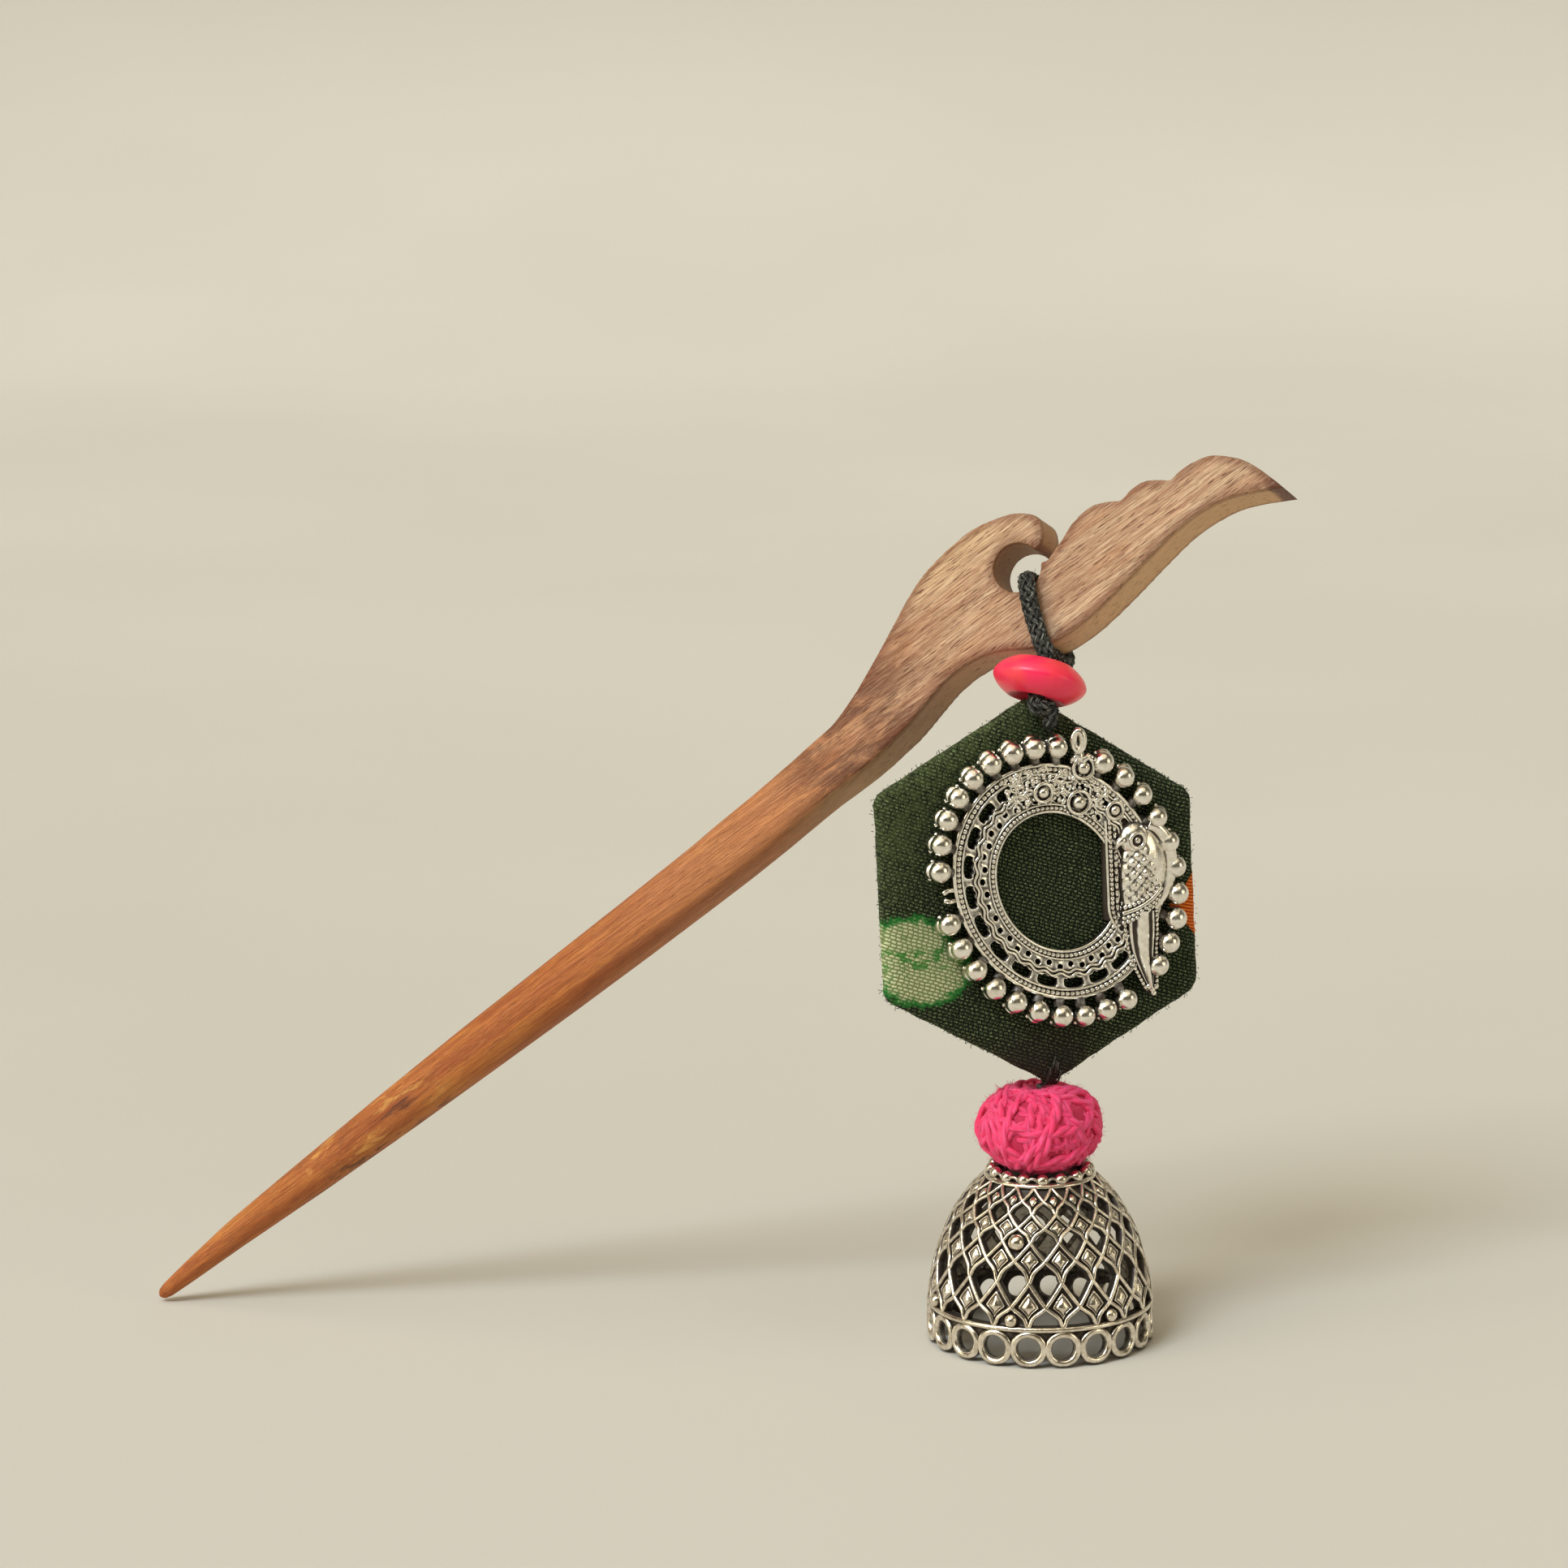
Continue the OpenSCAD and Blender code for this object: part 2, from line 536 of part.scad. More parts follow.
// The faces of one cell: four-sided wires round a hole, or wires round a small pyramid
function cell_faces(k, j, is_open) = let (c = cell_corners(k, j), mid = mean(c), n = len(c),
    s = [for (p = c) mid + (1 - wire_share) * (p - mid)], deep = is_open ? MIDDLE : RECESS)
    [for (i = [0:n - 1]) let (e = (i + 1) % n) each concat(
        quad(at_depth(c[i], 0), at_depth(c[e], 0), at_depth(s[e], deep), at_depth(s[i], deep)),
        is_open ? quad(at_depth(s[i], deep), at_depth(s[e], deep), at_depth(c[e], 1), at_depth(c[i], 1))
            : [[at_depth(s[i], deep), at_depth(s[e], deep), at_depth(mid, 0)],
                [at_depth(mid, 1), at_depth(c[e], 1), at_depth(c[i], 1)]])];
// Every third arch of the lowest row and some lozenges of the widest open row hold a ball
function is_open(k, j) = k == 0 ? j % 3 != 2 : k == 4 ? j % 6 != 2 : len(search(k, open_rows)) > 0;
// Columns of the wire that closes the wall along the rim and the crown
E_DEPTH = 0;  // depth into the wall, of bell_wall
E_RISE = 1;   // distance beyond the lattice, of edge_wire
EDGE = [[0, 0], [-0.2, 0.7], [1.2, 0.7], [1, 0]];
function edge_pt(k, j, way, e) = dome_pt(k, j, e[E_DEPTH]) + [0, 0, way * e[E_RISE] * edge_wire];
function edge_faces(k, way) = [for (j = [0:cells - 1], i = [0:len(EDGE) - 2])
    let (m = j + (k % 2) / 2, a = m - way / 2, b = m + way / 2)
    each quad(edge_pt(k, a, way, EDGE[i]), edge_pt(k, b, way, EDGE[i]), edge_pt(k, b, way, EDGE[i + 1]),
        edge_pt(k, a, way, EDGE[i + 1]))];

module lattice() {
    skin(concat([for (k = [0:top_level], j = [0:cells - 1]) each cell_faces(k, j, is_open(k, j))],
        edge_faces(0, -1), edge_faces(top_level, 1)));
}

// One circle of the rim's band, standing on edge. Neighbours overlap a little
circle_lap = 1.1;
circle_r = circle_lap * (bell_d - bell_wall) / 2 * sin(180 / cells);
module rim_circle(t) {
    rotate([0, 0, t]) translate([bell_d / 2 - bell_wall, 0, -0.5 * edge_wire - circle_r]) rotate([0, 90, 0])
        difference() {
            cylinder(r = circle_r, h = bell_wall, $fn = 12);
            translate([0, 0, -bell_wall]) cylinder(r = circle_r - circle_wire, h = 3 * bell_wall, $fn = 12);
        }
}

// A ball on the crown wire, drawn together with its small seat
module crown_ball(t) {
    rotate([0, 0, t]) translate([dome_r(lattice_h) - 0.42 * bell_wall, 0, lattice_h]) hull() {
        translate([0, 0, edge_wire + 0.25 * crown_ball_d]) sphere(d = crown_ball_d, $fn = 10);
        translate([0, 0, edge_wire / 2]) cylinder(d = 0.4 * crown_ball_d, h = 0.1, $fn = 4);
    }
}

module bell() {
    crown_balls = 16;
    color("silver") translate([drop.x, drop.y, rim_z]) rotate([0, 0, bell_turn]) union() {
        lattice();
        for (i = [0:cells - 1]) rim_circle(360 * (i + 0.5) / cells);
        for (i = [0:crown_balls - 1]) crown_ball(360 * i / crown_balls);
        translate([0, 0, lattice_h - plate_drop - plate_t]) rotate([0, 0, 180 / cells]) difference() {
            cylinder(r = dome_r(lattice_h) - 0.35 * bell_wall, h = plate_t, $fn = cells);
            translate([0, 0, -plate_t]) cylinder(d = thread_d + 2 * gap, h = 3 * plate_t, $fn = 10);
        }
    }
}

stick();
cord_loop();
saucer_bead();
fabric_hexagon();
ring_charm();
lower_thread();
yarn_ball();
bell();
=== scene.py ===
import json
import random
from math import acos, asin, atan2, copysign, cos, floor, hypot, pi, sin, sqrt

import bpy
import numpy as np
from mathutils import Matrix, Vector, noise

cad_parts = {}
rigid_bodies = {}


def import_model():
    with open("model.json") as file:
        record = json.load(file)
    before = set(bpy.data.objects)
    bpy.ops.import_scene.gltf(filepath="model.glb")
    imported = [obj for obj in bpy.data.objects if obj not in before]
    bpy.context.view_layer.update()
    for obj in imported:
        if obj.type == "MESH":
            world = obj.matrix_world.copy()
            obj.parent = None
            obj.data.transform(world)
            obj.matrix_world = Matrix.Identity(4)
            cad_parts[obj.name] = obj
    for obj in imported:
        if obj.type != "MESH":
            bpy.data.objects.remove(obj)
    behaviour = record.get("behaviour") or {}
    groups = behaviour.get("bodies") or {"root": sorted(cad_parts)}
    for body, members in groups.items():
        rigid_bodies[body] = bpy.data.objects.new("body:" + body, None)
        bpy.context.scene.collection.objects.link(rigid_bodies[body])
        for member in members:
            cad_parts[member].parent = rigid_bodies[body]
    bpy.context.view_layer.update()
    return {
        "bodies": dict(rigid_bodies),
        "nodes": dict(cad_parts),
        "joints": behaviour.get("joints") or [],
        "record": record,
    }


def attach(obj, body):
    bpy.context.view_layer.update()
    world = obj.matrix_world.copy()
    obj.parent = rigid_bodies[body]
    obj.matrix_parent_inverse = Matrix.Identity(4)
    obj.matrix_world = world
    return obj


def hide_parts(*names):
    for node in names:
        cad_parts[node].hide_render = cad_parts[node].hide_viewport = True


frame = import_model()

scene = bpy.context.scene
MM = .001
TAU = 2 * pi
UP = Vector((0, 0, 1))


def deg(a):
    return a * pi / 180


def shifted(at):
    return Matrix.Translation(at * MM)


def columns(x, y, z, at):
    """A frame from its three axes and its place in millimetres."""
    return shifted(at) @ Matrix((x, y, z)).transposed().to_4x4()


# Places and sizes, in millimetres, as in the CAD
SLANT, ROLL = deg(36.8), deg(25.5)
ALONG = Vector((cos(SLANT), 0, sin(SLANT)))
ACROSS = Vector((-sin(SLANT) * cos(ROLL), sin(ROLL), cos(SLANT) * cos(ROLL)))
OUTWARD = Vector((-sin(SLANT) * sin(ROLL), -cos(ROLL), cos(SLANT) * sin(ROLL)))
GRIP = (60, 1.75446)
SHAFT_L, HEAD_L, HEAD_H, SHAFT_W, STICK_T = 112, 68, 20, 7.5, 7.2
EYE = (SHAFT_L + .517 * HEAD_L, .49 * HEAD_H)
EYE_D = 6.2
HANG = (SHAFT_L + .458 * HEAD_L, 0)
DROP = Vector((67.7962, -6.0446, 0))
BEAD_AT = Vector((67.7962, -6.0446, 46.0914))
BEAD_AXIS = Vector((.1941, .3584, .9132)).normalized()
BEAD_D, BEAD_H = 11.7, 6.6
CORD_W, CORD_T, GAP = 2.4, 1.9, .15
PAD_W, PAD_H, PAD_T, PAD_TURN = 43, 49.4, 3.6, deg(27.6)
PAD_MID = 19.6305
PAD_TOP, PAD_FOOT = PAD_MID + PAD_H / 2, PAD_MID - PAD_H / 2
YARN_D, YARN_H, YARN_MID = 15.4, 11.8, -10.7335
BELL_D, CROWN_D, LATTICE_H, RIM_Z, BELL_TURN = 28.3, 13.8, 15.9, -32.6335, 6.6
PLATE_TOP = -16.7835
TWILL_ROW, TWILL_FLOAT = .44, .72
FLOOR_Z = -37.85


def on_stick(u, v, w):
    return (u - GRIP[0]) * ALONG + (v - GRIP[1]) * ACROSS + w * OUTWARD


def on_bead(x, y, z):
    return BEAD_AT + x * BEAD_X + y * BEAD_Y + z * BEAD_AXIS


STICK_FRAME = columns(ALONG, ACROSS, OUTWARD, on_stick(0, 0, 0))
PAD_X = Vector((cos(PAD_TURN), sin(PAD_TURN), 0))
PAD_OUT = Vector((sin(PAD_TURN), -cos(PAD_TURN), 0))
PAD_FRAME = columns(PAD_X, UP, PAD_OUT, DROP + PAD_MID * UP)
RING_FRAME = PAD_FRAME @ shifted(Vector((1.15, 1.6, PAD_T / 2 + GAP)))
YARN_FRAME = shifted(DROP + YARN_MID * UP)
BELL_FRAME = shifted(DROP + RIM_Z * UP) @ Matrix.Rotation(deg(BELL_TURN), 4, "Z")
BEAD_X = Vector((0, 1, 0)).cross(BEAD_AXIS).normalized()
BEAD_Y = BEAD_AXIS.cross(BEAD_X)
BEAD_FRAME = columns(BEAD_X, BEAD_Y, BEAD_AXIS, BEAD_AT)


# Points, directions and paths
def turns(n, shift=0):
    """Angles all round."""
    return [TAU * (j + shift) / n for j in range(n)]


def polar(r, a, z=0):
    return Vector((r * cos(a), r * sin(a), z))


def circle(n, r, x, y, z=0):
    return [Vector((x + r * cos(a), y + r * sin(a), z)) for a in turns(n)]


def points(rows):
    return [Vector(row) for row in rows]


def flat(pts, z=0):
    """The same points, all at one height."""
    return [Vector((p[0], p[1], z)) for p in pts]


def gauss(rng, *spreads):
    return Vector([rng.gauss(0, spread) for spread in spreads])


def square_to(axis):
    """Two directions that are square to an axis and to each other."""
    x = axis.orthogonal().normalized()
    return x, axis.cross(x)


def heading(path, i):
    """The direction of an open path at one of its points."""
    return (path[min(i + 1, len(path) - 1)] - path[max(i - 1, 0)]).normalized()


def bend(p, q, r, s, t):
    return .5 * (2 * q + (r - p) * t + (2 * p - 5 * q + 4 * r - s) * t * t + (3 * q - p - 3 * r + s) * t ** 3)


def curve(pts, steps, corners=None):
    """A smooth line through points, or a loop where corners has the numbers of the points that stay sharp."""
    n, loop = len(pts), corners is not None
    sharp = corners if loop else {0, n - 1}
    out = []
    for i in range(n if loop else n - 1):
        j = (i + 1) % n
        before = pts[i] if i in sharp else pts[i - 1]
        after = pts[j] if j in sharp else pts[(j + 1) % n]
        out += [bend(before, pts[i], pts[j], after, k / steps) for k in range(steps)]
    return out if loop else out + [pts[-1]]


def respace(path, step):
    """The same path with points a step apart."""
    out, left = [path[0]], step
    for a, b in zip(path, path[1:]):
        d = (b - a).length
        while left <= d and d > 0:
            out.append(a.lerp(b, left / d))
            left += step
        left -= d
    return out


def power(c, e):
    return copysign(abs(c) ** (2 / e), c)


# Meshes
def tones(section):
    return [point[2] for point in section]


def linked(name, data):
    obj = bpy.data.objects.new(name, data)
    scene.collection.objects.link(obj)
    return obj


def place(name, mesh, material, slot, matrix, node):
    mesh.shade_smooth()
    mesh.materials.clear()
    mesh.materials.append(material)
    mesh.transform(matrix)
    obj = linked(name, mesh)
    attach(obj, "root")
    if node:
        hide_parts(node)
    return obj


class Shape:
    """Points and faces of one piece, in millimetres. Each point has a tone and a flow: way, turn and seed."""

    def __init__(self):
        self.pts, self.faces, self.tone, self.flow = [], [], [], []

    def ring(self, pts, tone=1, flow=None):
        """Adds points and gives their numbers. tone is one number, or a list with one for each point."""
        start = len(self.pts)
        self.pts += pts
        self.tone += tone if isinstance(tone, list) else [tone] * len(pts)
        self.flow += flow or [(0, 0, 0)] * len(pts)
        return list(range(start, start + len(pts)))

    def loft(self, rings, loop=False, closed=True):
        """Faces from each ring to the next. loop joins the last to the first, closed joins a ring's ends."""
        for a, b in zip(rings, rings[1:] + (rings[:1] if loop else [])):
            n = len(a)
            for j in range(n if closed else n - 1):
                k = (j + 1) % n
                self.faces.append((a[j], a[k], b[k], b[j]))

    def skin(self, rows, tone=1, loop=False, closed=True):
        """Rings of points, with faces between them. Gives the rings' numbers."""
        rings = [self.ring(row, tone) for row in rows]
        self.loft(rings, loop, closed)
        return rings

    def fan(self, ring, centre, tone=1):
        c = self.ring([centre], tone)[0]
        self.faces += [(ring[j - 1], ring[j], c) for j in range(len(ring))]

    def tube(self, path, radius, sides=8, closed=False, tone=1, seed=0, up=None, squash=1, caps=True):
        """A tube along a path. radius and tone can be functions of a point's number, and squash is along up."""
        n = len(path)
        side, run, rings = None, 0, []
        for i, p in enumerate(path):
            ahead = (path[(i + 1) % n] - path[i - 1]).normalized() if closed else heading(path, i)
            if up:
                side = ahead.cross(up[i] if isinstance(up, list) else up).normalized()
            elif side is None:
                side = ahead.orthogonal().normalized()
            else:
                side = (side - side.dot(ahead) * ahead).normalized()
            lift = side.cross(ahead)
            r = radius(i) if callable(radius) else radius
            run += (p - path[i - 1]).length if i else 0
            rings.append(self.ring([p + r * (cos(t) * side + squash * sin(t) * lift) for t in turns(sides)],
                                   tone(i) if callable(tone) else tone,
                                   [(run, j / sides, seed) for j in range(sides)]))
        self.loft(rings[::-1], closed)
        if caps and not closed:
            self.faces += [rings[0], rings[-1][::-1]]

    def ball(self, at, r, rows=6, sides=10, squash=1, axis=UP, tone=1, low=None):
        """A ball, squashed along its axis. low is the tone at its foot."""
        axis = axis.normalized()
        x, y = square_to(axis)
        low = tone if low is None else low
        rings = []
        for i in range(1, rows):
            a = pi * i / rows
            z, q = -cos(a) * r * squash, sin(a) * r
            rings.append(self.ring([at + axis * z + q * (cos(t) * x + sin(t) * y) for t in turns(sides)],
                                   low + (tone - low) * min(1, max(0, .9 - cos(a)))))
        self.loft(rings)
        self.fan(rings[0][::-1], at - axis * r * squash, low)
        self.fan(rings[-1], at + axis * r * squash, tone)

    def mesh(self, name, unit=MM):
        mesh = bpy.data.meshes.new(name)
        mesh.from_pydata([tuple(c * unit for c in p) for p in self.pts], [], self.faces)
        return mesh

    def make(self, name, material, slot, matrix=Matrix(), node=None):
        mesh = self.mesh(name)
        tone = mesh.attributes.new("tone", "FLOAT", "POINT")
        tone.data.foreach_set("value", [float(t) for t in self.tone])
        flow = mesh.attributes.new("flow", "FLOAT_VECTOR", "POINT")
        flow.data.foreach_set("vector", [float(c) for f in self.flow for c in f])
        mesh.validate()
        mesh.update()
        return place(name, mesh, material, slot, matrix, node)


# Materials
class Nodes:
    """The node tree of a material or of the world, with its one shader."""

    def __init__(self, owner, end="OutputMaterial", shader="BsdfPrincipled"):
        owner.use_nodes = True
        self.owner, self.tree = owner, owner.node_tree
        self.tree.nodes.clear()
        self.shader = self.add(shader)
        self.add(end, {0: self.shader.outputs[0]})

    def add(self, kind, inputs=(), **settings):
        """A node. inputs has its sockets' names or numbers, each with a value or another node's output."""
        node = self.tree.nodes.new("ShaderNode" + kind)
        for key, value in settings.items():
            setattr(node, key, value)
        self.fill(node, inputs)
        return node

    def fill(self, node, inputs):
        for key, value in dict(inputs).items():
            if isinstance(value, bpy.types.NodeSocket):
                self.tree.links.new(value, node.inputs[key])
            else:
                node.inputs[key].default_value = value

    def set(self, **values):
        self.fill(self.shader, {key.replace("_", " "): value for key, value in values.items()})

    def math(self, op, a, b=0, c=0):
        return self.add("Math", enumerate((a, b, c)), operation=op).outputs[0]

    def sum(self, *terms):
        """The sum of terms. A term is a value, or a pair of a value and its weight."""
        total = 0
        for term in terms:
            value, weight = term if isinstance(term, tuple) else (term, 1.0)
            total = self.math("MULTIPLY_ADD", value, weight, total)
        return total

    def product(self, *factors):
        """The product of factors. A factor is a value, or a tuple of what step takes."""
        total, *others = (self.step(*f) if isinstance(f, tuple) else f for f in factors)
        for factor in others:
            total = self.math("MULTIPLY", total, factor)
        return total

    def within(self, frame, kind="Object", unit=MM):
        """The place in a piece's own frame, in millimetres. The normal there with kind Normal and unit 1."""
        node = self.add("Mapping", {"Vector": self.add("TexCoord").outputs[kind], "Rotation": frame.to_euler(),
                                    "Scale": (unit, unit, unit)}, vector_type="TEXTURE")
        if kind == "Object":
            node.inputs["Location"].default_value = frame.translation
        return node.outputs[0]

    def split(self, vector):
        return self.add("SeparateXYZ", {0: vector}).outputs

    def attribute(self, name, output):
        return self.add("Attribute", attribute_name=name).outputs[output]

    def noise(self, vector, scale, detail, rough=.5, distortion=0, move=(0, 0, 0)):
        """Noise at a place. scale is one number, or has one for each axis."""
        if isinstance(scale, tuple):
            node = self.add("Mapping", {"Vector": vector, "Scale": scale, "Location": move})
            vector, scale = node.outputs[0], 1
        return self.add("TexNoise", {"Vector": vector, "Scale": scale, "Detail": detail, "Roughness": rough,
                                     "Distortion": distortion}).outputs[0]

    def step(self, value, start, full, *fall):
        """0 at start and 1 at full. It falls back to 0 between the two values of fall."""
        rise = self.add("MapRange", {0: value, 1: start, 2: full}, interpolation_type="SMOOTHSTEP").outputs[0]
        return self.product(rise, (value, *fall[::-1])) if fall else rise

    def mix(self, under, over, *shares):
        """One colour over another, by the product of its shares."""
        a, b = (c if isinstance(c, bpy.types.NodeSocket) else (*linear(c), 1) for c in (under, over))
        return self.add("Mix", {0: self.product(*shares), 6: a, 7: b}, data_type="RGBA").outputs[2]

    def layers(self, colour, *rows):
        """Colours over each other. Each row has a colour and its shares."""
        for over, *shares in rows:
            colour = self.mix(colour, over, *shares)
        return colour

    def close(self, reach, **settings):
        """How open a point is to its surroundings within reach, in millimetres."""
        return self.add("AmbientOcclusion", {"Distance": reach * MM}, samples=6, **settings).outputs["AO"]

    def toward(self, vector, direction, low, high):
        """How far a vector points in a direction."""
        node = self.add("VectorMath", {0: vector, 1: Vector(direction).normalized()}, operation="DOT_PRODUCT")
        return self.step(node.outputs["Value"], low, high)

    def bump(self, height, distance, strength):
        return self.add("Bump", {"Height": height, "Distance": distance * MM, "Strength": strength}).outputs[0]


def linear(colour):
    """The values that shaders use, of a colour that is given in them or, up to 255, as screens show it."""
    if max(colour) <= 1:
        return colour
    return [c / 255 / 12.92 if c <= 10 else ((c / 255 + .055) / 1.055) ** 2.4 for c in colour]


def surface(name):
    return Nodes(bpy.data.materials.new(name))


def wood():
    m = surface("carved wood")
    p = m.within(STICK_FRAME)
    u, v, _ = m.split(p)
    slow = m.noise(p, (.03, .12, .12), 3)
    streak = m.noise(p, (.03, .9, .9), 3, .5, .3)
    grain = m.noise(p, (.12, 3.4, 3.4), 4, .7, .6, (2, 0, 4))
    hair = m.noise(p, (.3, 7, 7), 3, .7, .3)
    blotch = m.noise(p, (.06, .3, .3), 3, .6, move=(3, 1, 7))
    stain = m.noise(p, (.16, .42, .42), 4, .65, .5, (5, 2, 0))
    pore = m.noise(p, (.5, 5.2, 5.2), 1.5, move=(0, 2, 5))
    fleck = m.noise(p, (.4, 5.5, 5.5), 1.5, move=(9, 0, 1))
    # From the orange-brown of the shaft to the pale head, by the place along the stick
    head = m.step(m.sum(u, (slow, 34), -17), 106, 138)
    shaft_tone = m.layers((158, 78, 27), ((194, 114, 50), (streak, .25, .75)),
                          ((216, 140, 62), (blotch, .5, .72), .6))
    head_tone = m.layers((186, 144, 112), ((214, 180, 146), (streak, .28, .72)),
                         ((204, 148, 106), (blotch, .48, .72), .5),
                         ((224, 186, 138), (v, 11, 17), (u, 158, 140), .6))
    # The sawn underside, with fine saw lines across it, and the eye's wall
    _, ny, nz = m.split(m.within(STICK_FRAME, "Normal", 1))
    side = m.step(m.math("ABSOLUTE", nz), .72, .45)
    sawn = m.mix((196, 144, 96), (232, 190, 140), m.noise(p, (.25, 1.5, 5), 3, .6))
    off_x, off_y = m.math("SUBTRACT", u, EYE[0]), m.math("SUBTRACT", v, EYE[1])
    eye_far = m.math("SQRT", m.sum((off_x, off_x), (off_y, off_y)))
    grained = m.step(grain, .44, .66)
    point = m.step(u, 22, 30, 44, 52)
    edge = m.product((m.close(1.5, inside=True, only_local=True), .9, .7), (u, 96, 118))
    pores = m.product((pore, .63, .69), m.sum(.35, (head, .5)))
    tone = m.layers(
        m.mix(shaft_tone, head_tone, head), ((212, 152, 104), (u, 66, 98, 106, 122), .4),
        # Grey-brown stains where the neck swells, and the dark and yellow streaks near the point
        ((98, 56, 34), (u, 102, 116, 120, 138), (stain, .36, .58), .85),
        ((86, 44, 22), point, (stain, .56, .68), .8), ((226, 164, 82), point, (stain, .46, .36), .7),
        # Grain
        (m.mix((112, 48, 18), (132, 76, 48), head), grained, m.sum(.24, (head, .1))),
        (m.mix((104, 44, 18), (122, 68, 42), head), (hair, .46, .62), m.sum(.3, (head, .22))),
        ((240, 212, 178), (hair, .46, .34), head, .3), (sawn, side, (ny, .2, -.3), (u, 100, 116), .85),
        (m.mix((128, 78, 34), (196, 136, 72), hair), side, (eye_far, EYE_D / 2 + 1.2, EYE_D / 2 + .3), .8),
        # Dark reddish edges, darkest at the wing's tip
        ((112, 54, 28), edge, .85), ((66, 30, 18), (u, 175, 181), edge, .6),
        # Pale flecks and pores: short dashes along the grain
        (m.mix((226, 166, 112), (236, 210, 182), head), (fleck, .6, .7), m.sum(.15, (head, .12))),
        ((96, 46, 26), pores, .9))
    height = m.sum((hair, .7), (grained, -.5), (pores, -1), (streak, .3))
    m.set(Base_Color=tone, Roughness=m.sum(.42, (hair, .22)), Normal=m.bump(height, .1, .8),
          Specular_IOR_Level=.4)
    return m


def silver(name, frame, dull, bright, low, high):
    m = surface(name)
    p = m.within(frame)
    grime, pits = m.noise(p, 1.3, 4, .65), m.noise(p, 6, 3, .6)
    # Tarnish keeps to the recesses, which the tone of a piece and its nearness to others show
    bare = m.step(m.close(.9), .3, .85)
    worn = m.product(m.attribute("tone", "Fac"), m.sum(.25, (bare, .75)))
    clean = m.step(m.sum(worn, (grime, .5), -.25), low, high)
    colour = m.layers((.045, .032, .023), (m.mix(dull, bright, (grime, .35, .65)), clean),
                      ((.2, .17, .13), (pits, .6, .75), .3))
    rough = m.sum(.07, (pits, .12), (m.math("SUBTRACT", 1, clean), .34))
    m.set(Base_Color=colour, Metallic=m.sum(.3, (clean, .7)), Roughness=rough,
          Normal=m.bump(m.sum((grime, .6), (pits, .4)), .07, .7))
    return m


def bead_paint():
    m = surface("coral bead")
    p = m.within(BEAD_FRAME)
    cloud, speck = m.noise(p, .22, 3), m.noise(p, 3.5, 3, .6)
    # Painted shade: darker over the lower face, most towards its bottom
    colour = m.layers((252, 34, 88), ((254, 58, 78), (cloud, .38, .62)),
                      ((206, 48, 56), (m.split(p)[2], -.6, -2.6), .4), ((150, 30, 50), (speck, .62, .74), .2))
    m.set(Base_Color=colour, Roughness=m.sum(.3, (speck, .2)),
          Normal=m.bump(m.sum((cloud, 2), (speck, .25)), .14, .5), Coat_Weight=.3, Coat_Roughness=.25)
    return m


def cord_yarn():
    m = surface("black braid")
    flow = m.attribute("flow", "Vector")
    fibre, painted_glint = m.noise(flow, (1.1, 10, 1), 3, .6), m.noise(flow, (1, 13, 1), 2, move=(0, 0, 5))
    # Painted highlights: light grey glints on the raised parts of the strands, where the tone is high
    colour = m.layers((.004, .004, .004), ((.03, .032, .03), (fibre, .4, .7)),
                      ((.3, .3, .26), (painted_glint, .52, .64), (m.attribute("tone", "Fac"), .2, .8), .7))
    m.set(Base_Color=colour, Roughness=.6, Normal=m.bump(fibre, .1, .9), Specular_IOR_Level=.35)
    return m


def pink_yarn():
    m = surface("pink yarn")
    fibre = m.noise(m.attribute("flow", "Vector"), (.6, 12, 1), 4, .65, .3)
    cloud = m.noise(m.within(YARN_FRAME), .35, 3)
    # The last layer is painted shade: the core and the deeper wraps, which have a lower tone, are darker
    colour = m.layers((250, 30, 98), ((255, 96, 150), (fibre, .3, .7)), ((255, 50, 104), (cloud, .45, .7), .45),
                      ((170, 12, 60), m.math("SUBTRACT", 1, m.attribute("tone", "Fac"))))
    m.set(Base_Color=colour, Roughness=.8, Normal=m.bump(fibre, .1, .8), Sheen_Weight=.16,
          Sheen_Roughness=.5, Sheen_Tint=(1, .55, .65, 1), Subsurface_Weight=.2, Subsurface_Scale=MM,
          Subsurface_Radius=(1, .3, .35))
    return m


